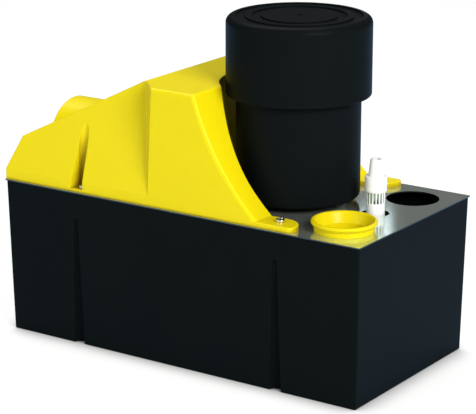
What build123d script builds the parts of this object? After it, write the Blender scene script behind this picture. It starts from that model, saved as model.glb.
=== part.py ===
from build123d import *
import math
import os

# Floor-standing condensate pump: an open-topped tank with a flat steel lid plate, an upright motor that
# drives a submerged impeller, two floats that work two switches under a moulded cover, and a check valve.
# Millimetres, +X along the tank, +Z up. The origin is the middle of the tank's foot.

# Tank and lid plate
tank_length = 326.2
tank_width = 163.6
tank_height = 124.0
tank_draft = 2.3
tank_wall = 2.5
tank_floor = 3.0
tank_corner = 1.2
foot_fillet = 0.8
groove_foot_radius = 5.0
groove_top_radius = 2.0
groove_tip_radius = 1.4
groove_tip_height = 1.5
groove_below_lid = 22.5
groove_offset = 2.6
boss_radius = 4.5
boss_depth = 22.0
boss_web = 4.0
plate_thickness = 1.0
plate_overhang = 0.9
plate_corner = 0.8
plate_top = tank_height + plate_thickness
plate_length = tank_length + 2 * plate_overhang
plate_width = tank_width + 2 * plate_overhang

# Clearances
running_gap = 0.05
slide_gap = 0.08
seat_gap = 0.1
loose_gap = 0.3

# Screws
cover_screw_radius = 1.9
cover_screw_head = 3.6
cover_screw_length = 16.0
small_screw_radius = 1.5
small_screw_head = 2.8
small_screw_head_height = 2.0
screw_hole_gap = 0.25

# Motor
motor_x = 59.0
motor_can_radius = 47.6
motor_can_wall = 2.0
motor_can_floor = 2.5
motor_can_height = 84.5
motor_can_fillet = 3.5
cap_radius = 55.4
cap_wall = 2.5
cap_height = 59.9
cap_overlap = 5.5
cap_top_fillet = 5.5
cap_foot_fillet = 1.2
cap_grooves = ((29.0, 36.0), (41.0, 48.0))
cap_groove_depth = 1.2
cap_dimple_radius = 2.5
cap_rib_count = 6
cap_rib_width = 3.0
cap_rib_height = 7.0
cap_rib_lip = 3.4
foot_height = 4.5
foot_radius = 5.5
foot_circle = motor_can_radius - 9.4
foot_count = 3
motor_screw_radius = 2.0
motor_screw_head = 3.5
motor_screw_head_height = 3.0
shaft_radius = 4.0
shaft_hub_gap = 0.02
bearing_radius = 11.0
bearing_width = 7.0
bracket_disc = 5.0
bracket_boss_radius = 14.0
bracket_boss_height = 10.0
bearing_shoulder = 2.5
post_radius = 3.8
post_height = 11.0
post_count = 4
tie_bolt_radius = 2.0
tie_bolt_head = 3.4
tie_bolt_head_height = 3.0
stator_radius = motor_can_radius - motor_can_wall - 2.4
post_circle = stator_radius - 5.0
stator_back = 9.0
slot_depth = 9.0
stator_stack = 40.0
stator_slots = 12
slot_outer = stator_radius - stator_back
slot_inner = slot_outer - slot_depth
slot_lip = 2.7
stator_bore = slot_inner - slot_lip
slot_width = 5.0
slot_mouth = 2.0
coil_overhang = 9.0
air_gap = 0.3
rotor_ring_radius = stator_bore - 2.8
rotor_ring_height = 1.5
fan_radius = motor_can_radius - motor_can_wall - 3.4
fan_hub_radius = 8.0
fan_plate = 2.0
fan_blade_height = 20.0
fan_blade_thickness = 1.6
fan_blades = 8
fan_above_bracket = 7.0
slinger_radius = 8.0
slinger_height = 2.0

# Pump column, volute and impeller
column_radius = 14.0
column_bore = 10.5
column_flange = 4.0
column_hub_radius = 22.0
column_arm_width = 15.0
column_foot_radius = 23.0
column_foot_screw_circle = 18.5
column_window_width = 10.0
column_window_height = 46.0
bush_height = 10.0
bush_lift = 3.0
volute_top_wall = 4.0
volute_wall = 2.6
volute_start_radius = 27.0
volute_growth = 2.0
volute_chamber = 17.0
volute_clear_of_floor = 7.0
volute_cover_thickness = 3.0
volute_lug_radius = 4.2
volute_lug_standoff = 2.2
volute_shaft_hole = 5.5
inlet_eye_radius = 12.0
strainer_radius = 27.0
strainer_teeth = 12
strainer_tooth = 6.0
strainer_wall = 2.5
impeller_radius = 24.0
impeller_disc = 2.0
impeller_vane_height = 7.0
impeller_vane_thickness = 1.8
impeller_vanes = 6
impeller_hub_radius = 7.0
impeller_top_gap = 1.5
outlet_tangent_radius = 23.0
outlet_axis_drop = 6.5
socket_wall = 2.3
socket_reach = 40.0
pipe_insertion = 10.0

# Discharge pipe and check valve
discharge_x = tank_length / 2 - 35.1
discharge_hole_radius = 10.5
pipe_radius = 7.1
pipe_bore = 5.2
pipe_bend = 14.0
pipe_above_plate = 7.7
union_height = 10.1
union_bore = 3.6
union_tail = 8.0
union_neck_radius = 6.2
union_neck_height = 6.2
union_flutes = 14
union_flute_radius = 0.8
valve_radius = 8.4
valve_skirt_height = 11.6
valve_height = 24.3
spigot_foot_radius = 5.8
spigot_top_radius = 4.5
valve_chamber_radius = 4.6
valve_chamber_height = 5.0
spring_chamber_radius = 4.0
spring_chamber_height = 4.2
spigot_bore = 2.8
seat_bore = 2.9
poppet_radius = 3.8
poppet_thickness = 2.0
poppet_stem_radius = 1.0
poppet_stem_height = 3.0
spring_mean_radius = 2.9
spring_wire = 0.35
spring_turns = 4

# Inlets
inlet_x = tank_length / 2 - 31.6
inlet_y = tank_width / 2 - 31.5
inlet_hole_radius = 20.5
collar_wall = 2.0
collar_bore = inlet_hole_radius - seat_gap - collar_wall
collar_body_radius = inlet_hole_radius + 1.9
collar_lip_radius = collar_body_radius + 2.25
collar_mouth_radius = collar_bore + 3.2
collar_height = 8.1
collar_lip_height = 2.0
collar_lip_blend = 2.6
collar_shank_depth = 20.0
collar_snap = 0.7
collar_snap_height = 2.4

# Moulded cover
cover_wall = 2.5
cover_rear_x = -plate_length / 2
cover_half_width = tank_width / 2 - 0.8
skirt_height = 8.4
knee_x = cover_rear_x + 13.0
knee_height = 35.5
roof_rear_x = -39.0
roof_height = 92.0
roof_half_width = cover_half_width - 20.0
shoulder_x = -20.0
shoulder_foot_x = -24.5
blend_rear_x = -90.0
blend_front_share = 0.25
swoop_radius = 198.6
swoop_centre_x = 208.2
swoop_centre_height = 150.7
edge_fillet = 3.0
bay_radius = 60.2
lug_thickness = 4.0
lug_inner_y = cover_half_width - 21.0
lug_end_x = 105.0
lug_start_x = 70.0
lug_inner_fillet = 15.0
lug_outer_fillet = 4.0
lug_edge_fillet = 1.0
front_screw_x = 88.3
front_screw_y = cover_half_width - 11.4
rear_screw_x = -91.6
rear_screw_y = cover_half_width - 6.7
channel_radius = 4.1
channel_floor = 2.5
channel_flare = 0.48
channel_tilt = 1.6
hood_radius = 33.5
hood_centre_height = 18.4
hood_end_x = cover_rear_x + 6.5
hood_inner_x = -110.0
recess_depth = 14.0

# Cable gland in the hood's end wall
gland_bore = 4.0
gland_thread_radius = 6.0
gland_dome_radius = 8.0
gland_dome_length = 7.0
gland_nut_radius = 9.0
gland_nut_length = 4.5
gland_tail = 9.0
gland_height = 21.5

# Floats and switches
float_travel = 18.0
pump_rod_x = -50.0
rod_radius = 2.5
rod_tail = 4.0
rod_collar_radius = 5.0
rod_collar_height = 3.0
rod_pin_radius = 1.5
pin_above_plate = 13.0
rod_above_pin = 4.0
pump_float_radius = 20.0
pump_float_height = 28.0
pump_float_bottom = 24.0
alarm_float_radius = 16.0
alarm_float_height = 24.0
alarm_float_bottom = 54.0
float_fillet = 4.0
guide_radius = 5.0
guide_flange_radius = 8.0
guide_flange_height = 2.8
rocker_reach = 48.0
rocker_thickness = 4.0
rocker_boss_radius = 5.0
rocker_arm_half = 3.4
rocker_pin_radius = 2.0
nose_reach = 4.0
nose_height = 6.5
nose_radius = 2.0
rocker_tilt = math.degrees(math.atan(float_travel / 2 / rocker_reach))
bracket_wall = 1.5
bracket_half_width = 9.0
bracket_length = 48.0
bracket_height = 49.0
switch_length = 28.0
switch_thickness = 10.3
switch_height = 16.0
switch_lead = 13.0
plunger_radius = 1.6
plunger_length = 9.0
plunger_exposed = 2.25
terminal_width = 5.0
terminal_thickness = 0.8
terminal_length = 6.0
block_x = -24.0
block_y = -44.0
block_length = 42.0
block_width = 16.0
block_height = 9.0
block_poles = 4
block_rib = 1.6
block_rib_height = 4.0
terminal_screw_head = 2.0

# Heights that follow from the sizes above
can_bottom = plate_top + foot_height
can_top = can_bottom + motor_can_height
cap_bottom = can_top - cap_overlap
cap_top = cap_bottom + cap_height
lower_disc_bottom = can_bottom + motor_can_floor
lower_disc_top = lower_disc_bottom + bracket_disc
stator_bottom = lower_disc_top + post_height
stator_top = stator_bottom + stator_stack
upper_disc_bottom = stator_top + post_height
upper_disc_top = upper_disc_bottom + bracket_disc
fan_bottom = upper_disc_top + fan_above_bracket
fan_top = fan_bottom + fan_plate + fan_blade_height
cover_bottom_z = tank_floor + volute_clear_of_floor
chamber_bottom = cover_bottom_z + volute_cover_thickness
chamber_top = chamber_bottom + volute_chamber
volute_top = chamber_top + volute_top_wall
outlet_z = chamber_top - outlet_axis_drop
flange_bottom = tank_height - column_flange
pipe_top = plate_top + pipe_above_plate
valve_bottom = pipe_top + union_height
seat_z = valve_bottom + union_neck_height
roof_z = plate_top + roof_height
skirt_z = plate_top + skirt_height
pin_z = plate_top + pin_above_plate
pivot_z = pin_z + float_travel / 2
switch_x = pump_rod_x - rocker_reach
alarm_pivot_shift = 24.0
bracket_x = switch_x + alarm_pivot_shift / 2
rocker_y = bracket_half_width + switch_thickness / 2
rod_y = rocker_y - rocker_thickness / 2 - rod_radius - 2 * loose_gap - slide_gap


def rod(radius, bottom, top, x=0.0, y=0.0):
    """Upright round bar between two heights."""
    return Pos(x, y, bottom) * Cylinder(radius, top - bottom, align=(Align.CENTER, Align.CENTER, Align.MIN))


def ring(outer, inner, bottom, top, x=0.0, y=0.0):
    """Upright tube between two heights."""
    return rod(outer, bottom, top, x, y) - rod(inner, bottom, top, x, y)


def block(x_range, y_range, z_range):
    """Box given by its limits along the three axes."""
    spans = [high - low for low, high in (x_range, y_range, z_range)]
    middle = [(high + low) / 2 for low, high in (x_range, y_range, z_range)]
    return Pos(*middle) * Box(*spans)


def cross_rod(radius, y_from, y_to, x, z):
    """Round bar along Y."""
    return Pos(x, (y_from + y_to) / 2, z) * Rot(90, 0, 0) * Cylinder(radius, abs(y_to - y_from))


def long_rod(radius, x_from, x_to, y, z):
    """Round bar along X."""
    return Pos((x_from + x_to) / 2, y, z) * Rot(0, 90, 0) * Cylinder(radius, abs(x_to - x_from))


def around(count, circle, start=0.0, x=motor_x, y=0.0):
    """Points evenly spaced on a circle."""
    for k in range(count):
        angle = math.radians(start + 360 * k / count)
        yield x + circle * math.cos(angle), y + circle * math.sin(angle)


def mirrored(part):
    """A part and its mirror image across the long middle plane."""
    return part + part.mirror(Plane.XZ)


def turned(part):
    """The part turned half a turn about the switch bracket's upright middle line."""
    return Pos(bracket_x, 0, 0) * Rot(0, 0, 180) * Pos(-bracket_x, 0, 0) * part


def revolved(points, x=0.0, y=0.0):
    """Solid turned about an upright axis from (radius, height) points."""
    profile = make_face(Plane.XZ * Polyline(*points, close=True))
    return Pos(x, y, 0) * revolve(profile, Axis.Z)


# Tank -------------------------------------------------------------------------------------------------

def wall_y(height):
    """Outer half width of the tank at a height: the walls lean out towards the rim."""
    return tank_width / 2 - tank_draft * (1 - height / tank_height)


def tank_form(inset, bottom):
    """Tapered box of the tank's outline, set in by a wall."""
    sections = []
    for height in (bottom, tank_height):
        lean = tank_draft * (1 - height / tank_height) + inset
        outline = RectangleRounded(tank_length - 2 * lean, tank_width - 2 * lean, tank_corner)
        sections.append(Pos(0, 0, height) * outline)
    return loft(sections, ruled=True)


def groove_cone(x, side, extra, bottom):
    """Slender cone along the wall that shapes a groove, or its backing when made wider."""
    top = tank_height - groove_below_lid
    foot = Vector(x, side * wall_y(bottom), bottom)
    axis = Vector(x, side * wall_y(top), top) - foot
    cone = Cone(groove_foot_radius + extra, groove_top_radius + extra, axis.length,
                align=(Align.CENTER, Align.CENTER, Align.MIN))
    tip = Cone(groove_top_radius + extra, groove_tip_radius + extra, groove_tip_height,
               align=(Align.CENTER, Align.CENTER, Align.MIN))
    return Plane(origin=foot, z_dir=axis).location * (cone + Pos(0, 0, axis.length) * tip)


def cover_screw_points():
    """Places of the four cover screws."""
    for side in (-1, 1):
        yield front_screw_x, side * front_screw_y
        yield rear_screw_x, side * rear_screw_y


def make_tank():
    outer = tank_form(0, 0)
    foot_edges = outer.edges().filter_by(lambda edge: edge.center().Z < 0.01)
    outer = fillet(foot_edges, foot_fillet)
    cavity = tank_form(tank_wall, tank_floor)
    for x in (front_screw_x + groove_offset, rear_screw_x - groove_offset):
        for side in (-1, 1):
            cavity -= groove_cone(x, side, tank_wall, 0)
            outer -= groove_cone(x, side, 0, -1)
    shell = outer - cavity
    for x, y in cover_screw_points():
        side = math.copysign(1, y)
        bottom = tank_height - boss_depth
        boss = rod(boss_radius, bottom, tank_height, x, y)
        reach = sorted((y, side * (wall_y(bottom) - tank_wall / 2)))
        boss += block((x - boss_web / 2, x + boss_web / 2), reach, (bottom, tank_height))
        shell += boss & tank_form(tank_wall / 2, 0)
        shell -= rod(cover_screw_radius + running_gap, bottom + tank_wall, tank_height, x, y)
    return shell


# Lid plate --------------------------------------------------------------------------------------------

def make_lid_plate():
    outline = RectangleRounded(plate_length, plate_width, plate_corner)
    plate = Pos(0, 0, tank_height) * extrude(outline, plate_thickness)
    holes = [(inlet_hole_radius, inlet_x, inlet_y), (inlet_hole_radius, inlet_x, -inlet_y)]
    holes.append((discharge_hole_radius, discharge_x, 0))
    holes.append((column_bore, motor_x, 0))
    holes += [(motor_screw_radius + screw_hole_gap, x, y) for x, y in around(foot_count, foot_circle)]
    holes += [(cover_screw_radius + screw_hole_gap, x, y) for x, y in cover_screw_points()]
    holes += [(guide_radius + seat_gap, x, y) for x, y in rod_points()]
    holes += [(small_screw_radius + running_gap, x, y) for x, y in plate_screw_points()]
    for radius, x, y in holes:
        plate -= rod(radius, tank_height - 1, plate_top + 1, x, y)
    return plate


# Cover ------------------------------------------------------------------------------------------------

def cover_side_view(inset):
    """Side outline of the cover: upright skirt, leaning rear, rising slope, flat roof, hollow front curve."""
    foot = tank_height - 10 + inset
    swoop_z = plate_top + swoop_centre_height
    radius = swoop_radius + inset
    rear_angle = math.atan2(knee_height - skirt_height, knee_x - cover_rear_x)
    slope_angle = math.atan2(roof_height - knee_height, roof_rear_x - knee_x)
    rear_shift = inset * math.tan((math.pi / 2 - rear_angle) / 2)
    knee_turn = (rear_angle - slope_angle) / 2
    knee_out = inset / math.cos(knee_turn)
    knee_normal = (rear_angle + slope_angle) / 2 - math.pi / 2
    roof_shift = inset * math.tan(slope_angle / 2)
    rear = cover_rear_x + inset
    roof = roof_z - inset
    skirt = (rear, skirt_z - rear_shift)
    knee = (knee_x + knee_out * math.cos(knee_normal), plate_top + knee_height + knee_out * math.sin(knee_normal))
    roof_rear = (roof_rear_x + roof_shift, roof)
    roof_front = (swoop_centre_x - math.sqrt(radius ** 2 - (swoop_z - roof) ** 2), roof)
    toe = (swoop_centre_x - math.sqrt(radius ** 2 - (swoop_z - foot) ** 2), foot)
    middle_z = (roof + foot) / 2
    middle = (swoop_centre_x - math.sqrt(radius ** 2 - (swoop_z - middle_z) ** 2), middle_z)
    back = Plane.XZ * Polyline((rear, foot), skirt, knee, roof_rear, roof_front)
    front = Plane.XZ * ThreePointArc(roof_front, middle, toe)
    base = Plane.XZ * Line(toe, (rear, foot))
    return make_face([*back.edges(), *front.edges(), *base.edges()])


def cover_plan(inset, blended):
    """Solid that gives the cover its width: leaning rear flanks, then upright arms behind a slanted shoulder."""
    top = roof_z + 1
    lean = (cover_half_width - roof_half_width) / (roof_z - skirt_z)
    flank_inset = inset * math.hypot(1, lean)
    foot_y = cover_half_width - inset
    skirt_top = skirt_z + (foot_y - cover_half_width + flank_inset) / -lean
    top_y = cover_half_width - flank_inset - lean * (top - skirt_z)
    outline = Polyline(
        (foot_y, tank_height - 10), (foot_y, skirt_top), (top_y, top),
        (-top_y, top), (-foot_y, skirt_top), (-foot_y, tank_height - 10), close=True)
    flanks = extrude(Plane.YZ.offset(cover_rear_x - 5) * make_face(outline), roof_rear_x + 60 - cover_rear_x)
    arm = block((-70, lug_end_x + 20), (-foot_y, foot_y), (tank_height - 10, top))
    roof_corner = Vector(roof_rear_x, -roof_half_width, roof_z)
    shoulder = Vector(shoulder_x, -cover_half_width, roof_z)
    shoulder_foot = Vector(shoulder_foot_x, -cover_half_width, skirt_z)
    normal = (shoulder_foot - shoulder).cross(roof_corner - shoulder).normalized()
    if normal.X < 0:
        normal = -normal
    cut = Plane(origin=shoulder + normal * inset, z_dir=normal)
    arm = split(arm, bisect_by=cut, keep=Keep.TOP)
    mirror_cut = Plane(origin=(cut.origin.X, -cut.origin.Y, cut.origin.Z), z_dir=(normal.X, -normal.Y, normal.Z))
    arm = split(arm, bisect_by=mirror_cut, keep=Keep.TOP)
    plan = flanks + arm
    if blended:
        seam = roof_corner + (shoulder - roof_corner) * blend_front_share
        rear = Vector(blend_rear_x, -roof_half_width, roof_z)
        curve = Bezier(rear, roof_corner, seam)
        blend_top = make_face([curve, Line(seam, roof_corner), Line(roof_corner, rear)])
        plan += mirrored(loft([blend_top, Vertex(*shoulder_foot)]))
    return plan


def arch(radius, x_from, x_to):
    """Round-topped prism along X that stands on the lid plate."""
    centre = plate_top + hood_centre_height
    body = long_rod(radius, x_from, x_to, 0, centre)
    return body + block((x_from, x_to), (-radius, radius), (tank_height - 5, centre))


def motor_bay(extra):
    """U-shaped clearance round the motor, open towards the inlets."""
    low = tank_height - 20
    high = roof_z + 20
    bay = rod(bay_radius + extra, low, high, motor_x, 0)
    return bay + block((motor_x, lug_end_x + 60), (-bay_radius - extra, bay_radius + extra), (low, high))


def screw_channel(extra, bottom):
    """Upright channel in the flank that lets a driver reach the rear screw."""
    radius = channel_radius + extra
    reach = cover_half_width + 10 - rear_screw_y
    plan = make_face(Polyline(
        (-radius, 0), (-radius - channel_flare * reach, -reach), (radius, -reach), (radius, 0), close=True))
    foot = plate_top + channel_floor
    channel = extrude(plan + Circle(radius), roof_z - foot) + extrude(plan + Circle(radius), -tank_height / 4)
    channel = Pos(rear_screw_x, -rear_screw_y, foot) * Rot(0, channel_tilt, 0) * channel
    return channel & block((rear_screw_x - 40, rear_screw_x + 40), (-rear_screw_y - reach, 0), (bottom, roof_z))


def make_cover():
    prism = extrude(cover_side_view(0), cover_half_width, both=True)
    rim = prism.edges().filter_by(
        lambda edge: abs(abs(edge.center().Y) - cover_half_width) < 0.01
        and edge.center().X > shoulder_x
        and edge.center().Z > plate_top - 1)
    brow = prism.edges().filter_by(
        lambda edge: abs(edge.center().Y) < 0.01
        and edge.center().X > shoulder_x
        and edge.center().Z > roof_z - 1)
    prism = fillet([*rim, *brow], edge_fillet)
    outer = prism & cover_plan(0, True)
    outer += arch(hood_radius, hood_end_x, hood_inner_x)
    outer -= motor_bay(0)
    outer -= mirrored(screw_channel(0, plate_top + channel_floor))
    outer -= arch(hood_radius - cover_wall, cover_rear_x - 5, hood_end_x + recess_depth)

    inner = extrude(cover_side_view(cover_wall), cover_half_width, both=True) & cover_plan(cover_wall, False)
    inner += arch(hood_radius - cover_wall, hood_end_x + cover_wall, hood_inner_x)
    inner -= motor_bay(cover_wall)
    inner -= mirrored(screw_channel(cover_wall, tank_height - 20))
    inner -= arch(hood_radius + 1, cover_rear_x - 5, hood_end_x + recess_depth + cover_wall)

    cover = outer - inner
    lug_outline = make_face(Polyline(
        (lug_start_x, -cover_half_width), (lug_end_x, -cover_half_width),
        (lug_end_x, -lug_inner_y), (lug_start_x, -lug_inner_y), close=True))
    lug = Pos(0, 0, plate_top) * extrude(lug_outline, lug_thickness)
    corners = lug.edges().filter_by(Axis.Z).group_by(Axis.X)[-1].sort_by(Axis.Y)
    lug = fillet(corners[0], lug_outer_fillet)
    corners = lug.edges().filter_by(Axis.Z).filter_by(
        lambda edge: edge.center().X > lug_end_x - 1 and edge.center().Y > -lug_inner_y - 1)
    lug = fillet(corners, lug_inner_fillet)
    lug = fillet(lug.edges().group_by(Axis.Z)[-1], lug_edge_fillet)
    cover += mirrored(lug)
    cover &= block((-200, 200), (-100, 100), (plate_top, roof_z + 10))
    for x, y in cover_screw_points():
        cover -= rod(cover_screw_radius + screw_hole_gap, plate_top - 1, plate_top + 10, x, y)
    wall_x = hood_end_x + recess_depth
    cover -= long_rod(gland_thread_radius + seat_gap, wall_x - 1, wall_x + cover_wall + 1, 0,
                      plate_top + gland_height)
    return cover


def make_cover_screws():
    screws = []
    for x, y in cover_screw_points():
        front = x > 0
        seat = plate_top + (lug_thickness if front else channel_floor)
        screw = rod(cover_screw_radius, seat - cover_screw_length, seat, x, y)
        head = rod(cover_screw_head, seat, seat + 2.2, x, y)
        head = fillet(head.edges().group_by(Axis.Z)[-1], 0.9)
        cross = block((x - 2, x + 2), (y - 0.4, y + 0.4), (seat + 1.2, seat + 3))
        cross += block((x - 0.4, x + 0.4), (y - 2, y + 2), (seat + 1.2, seat + 3))
        screws.append(screw + head - cross)
    return screws


# Motor ------------------------------------------------------------------------------------------------

def make_motor_can():
    can = rod(motor_can_radius, can_bottom, can_top, motor_x)
    can = fillet(can.edges().group_by(Axis.Z)[0], motor_can_fillet)
    can -= rod(motor_can_radius - motor_can_wall, lower_disc_bottom, can_top + 1, motor_x)
    can -= rod(column_bore, can_bottom - 1, can_bottom + motor_can_floor + 1, motor_x)
    for x, y in around(foot_count, foot_circle):
        can -= rod(motor_screw_radius + screw_hole_gap, can_bottom - 1, lower_disc_bottom + 1, x, y)
    return can


def make_motor_cap():
    cap = rod(cap_radius, cap_bottom, cap_top, motor_x)
    cap = fillet(cap.edges().group_by(Axis.Z)[-1], cap_top_fillet)
    cap = fillet(cap.edges().group_by(Axis.Z)[0], cap_foot_fillet)
    inside = cap_radius - cap_wall
    cap -= rod(inside, cap_bottom - 1, cap_top - cap_wall - cap_groove_depth, motor_x)
    for inner, outer in cap_grooves:
        cap -= ring(outer, inner, cap_top - cap_groove_depth, cap_top + 1, motor_x)
    cap -= Pos(motor_x, 0, cap_top) * Sphere(cap_dimple_radius)
    for k in range(cap_rib_count):
        turn = Rot(0, 0, 360 * (k + 0.5) / cap_rib_count)
        grip = motor_can_radius + seat_gap
        half = cap_rib_width / 2
        rib = block((grip, inside + 0.5), (-half, half), (cap_bottom + 1, can_top))
        rib += block((grip - cap_rib_lip, inside + 0.5), (-half, half), (can_top, can_top + cap_rib_height))
        cap += Pos(motor_x, 0, 0) * turn * rib
    return cap


def make_motor_feet():
    hole = motor_screw_radius + screw_hole_gap
    return [ring(foot_radius, hole, plate_top, can_bottom, x, y) for x, y in around(foot_count, foot_circle)]


def end_bracket(disc_bottom, disc_top, stator_face, seat_mouth):
    """Cast end plate with a bearing seat, and posts that reach the stator."""
    inside = motor_can_radius - motor_can_wall
    away = 1 if stator_face > disc_top else -1
    boss_end = seat_mouth
    plate = rod(inside - seat_gap, disc_bottom, disc_top, motor_x)
    bracket = plate + rod(bracket_boss_radius, min(disc_bottom, boss_end), max(disc_top, boss_end), motor_x)
    near = disc_top if away > 0 else disc_bottom
    for x, y in around(post_count, post_circle, 45):
        bracket += rod(post_radius, min(near, stator_face), max(near, stator_face), x, y)
        bracket -= rod(tie_bolt_radius + running_gap, disc_bottom - 15, disc_top + 15, x, y)
    seat_floor = boss_end - away * bearing_width
    bracket -= rod(bearing_radius + running_gap, min(seat_floor, boss_end), max(seat_floor, boss_end), motor_x)
    bracket -= rod(shaft_radius + 2, disc_bottom - 15, disc_top + 15, motor_x)
    return bracket


def lower_seat_mouth():
    return lower_disc_bottom + bearing_shoulder + bearing_width


def upper_seat_mouth():
    return upper_disc_top - bearing_shoulder - bearing_width


def make_lower_bracket():
    bracket = end_bracket(lower_disc_bottom, lower_disc_top, stator_bottom, lower_seat_mouth())
    for x, y in around(foot_count, foot_circle):
        bracket -= rod(motor_screw_radius + running_gap, lower_disc_bottom - 1, lower_disc_top + 1, x, y)
    return bracket


def make_upper_bracket():
    return end_bracket(upper_disc_bottom, upper_disc_top, stator_top, upper_seat_mouth())


def make_bearing(mouth, downwards):
    bottom = mouth - bearing_width if downwards else mouth
    bearing = ring(bearing_radius, shaft_radius + running_gap, bottom, bottom + bearing_width, motor_x)
    for face in (bottom, bottom + bearing_width - 0.6):
        bearing -= ring(bearing_radius - 2, shaft_radius + 2, face, face + 0.6, motor_x)
    return bearing


def stator_slot(width, inner, outer, bottom, top):
    """One radial slot on the +X side of the motor's axis."""
    return block((inner, outer), (-width / 2, width / 2), (bottom, top))


def make_stator_core():
    core = ring(stator_radius, stator_bore, stator_bottom, stator_top, motor_x)
    slot = stator_slot(slot_width, slot_inner, slot_outer, stator_bottom - 1, stator_top + 1)
    slot += stator_slot(slot_mouth, stator_bore - 2, slot_inner + 1, stator_bottom - 1, stator_top + 1)
    for k in range(stator_slots):
        core -= Pos(motor_x, 0, 0) * Rot(0, 0, 360 * (k + 0.5) / stator_slots) * slot
    for x, y in around(post_count, post_circle, 45):
        core -= rod(tie_bolt_radius + seat_gap, stator_bottom - 1, stator_top + 1, x, y)
    return core


def make_stator_coils():
    inner = slot_inner + seat_gap
    outer = slot_outer - seat_gap
    coils = ring(outer, inner, stator_bottom - coil_overhang, stator_bottom - seat_gap, motor_x)
    coils += ring(outer, inner, stator_top + seat_gap, stator_top + coil_overhang, motor_x)
    bar = stator_slot(slot_width - 2 * seat_gap, inner + 0.5, outer - 0.2, stator_bottom - 1, stator_top + 1)
    for k in range(stator_slots):
        coils += Pos(motor_x, 0, 0) * Rot(0, 0, 360 * (k + 0.5) / stator_slots) * bar
    return coils


def make_tie_bolts():
    bolts = []
    for x, y in around(post_count, post_circle, 45):
        bolt = rod(tie_bolt_radius, lower_disc_bottom, upper_disc_top, x, y)
        head = extrude(Pos(x, y, upper_disc_top) * RegularPolygon(tie_bolt_head, 6), tie_bolt_head_height)
        bolts.append(bolt + head)
    return bolts


def make_motor_screws():
    screws = []
    for x, y in around(foot_count, foot_circle):
        screw = rod(motor_screw_radius, flange_bottom, lower_disc_top, x, y)
        head_bottom = flange_bottom - motor_screw_head_height
        head = extrude(Pos(x, y, head_bottom) * RegularPolygon(motor_screw_head, 6), motor_screw_head_height)
        screws.append(screw + head)
    return screws


# Rotor: everything that turns with the shaft ----------------------------------------------------------

def shaft_bottom():
    return impeller_bottom() + 1


def impeller_bottom():
    hub_top = chamber_top - impeller_top_gap
    return hub_top - impeller_top_gap * 2 - impeller_disc - impeller_vane_height


def make_shaft():
    shaft = rod(shaft_radius, shaft_bottom(), fan_top + 4, motor_x)
    return chamfer(shaft.edges().group_by(Axis.Z)[-1], 0.8)


def make_rotor():
    radius = stator_bore - air_gap
    rotor = rod(radius, stator_bottom + 1, stator_top - 1, motor_x)
    rotor += rod(rotor_ring_radius, stator_bottom + 1 - rotor_ring_height, stator_top - 1 + rotor_ring_height, motor_x)
    return rotor - rod(shaft_radius + shaft_hub_gap, stator_bottom - 5, stator_top + 5, motor_x)


def make_cooling_fan():
    fan = rod(fan_hub_radius, fan_bottom, fan_top, motor_x)
    fan += rod(fan_radius, fan_bottom, fan_bottom + fan_plate, motor_x)
    half = fan_blade_thickness / 2
    blade = block((fan_hub_radius - 1, fan_radius), (-half, half), (fan_bottom + fan_plate, fan_top))
    for k in range(fan_blades):
        fan += Pos(motor_x, 0, 0) * Rot(0, 0, 360 * k / fan_blades) * blade
    return fan - rod(shaft_radius + shaft_hub_gap, fan_bottom - 1, fan_top + 1, motor_x)


def make_impeller():
    bottom = impeller_bottom()
    disc_bottom = bottom + impeller_vane_height
    impeller = rod(impeller_radius, disc_bottom, disc_bottom + impeller_disc, motor_x)
    impeller += rod(impeller_hub_radius, bottom + 1, chamber_top - impeller_top_gap, motor_x)
    sweep_radius = impeller_radius * 0.62
    vane = ring(sweep_radius + impeller_vane_thickness / 2, sweep_radius - impeller_vane_thickness / 2,
                bottom, disc_bottom)
    vane = Pos(0, sweep_radius + 2, 0) * vane
    sector = block((0, impeller_radius), (-5, impeller_radius), (bottom, disc_bottom))
    vane = vane & sector & (rod(impeller_radius, bottom, disc_bottom) - rod(impeller_hub_radius - 0.5, bottom, disc_bottom))
    for k in range(impeller_vanes):
        impeller += Pos(motor_x, 0, 0) * Rot(0, 0, 360 * k / impeller_vanes) * vane
    return impeller - rod(shaft_radius + shaft_hub_gap, bottom + 1, chamber_top, motor_x)


def make_slinger():
    middle = plate_top + foot_height / 2
    low = middle - slinger_height / 2
    return revolved([
        (shaft_radius + shaft_hub_gap, low), (slinger_radius, low + 0.6), (slinger_radius, low + slinger_height - 0.6),
        (shaft_radius + shaft_hub_gap, low + slinger_height)], motor_x)


# Pump column, volute and strainer ---------------------------------------------------------------------

def column_screw_points():
    return around(foot_count, column_foot_screw_circle, 60)


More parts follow.
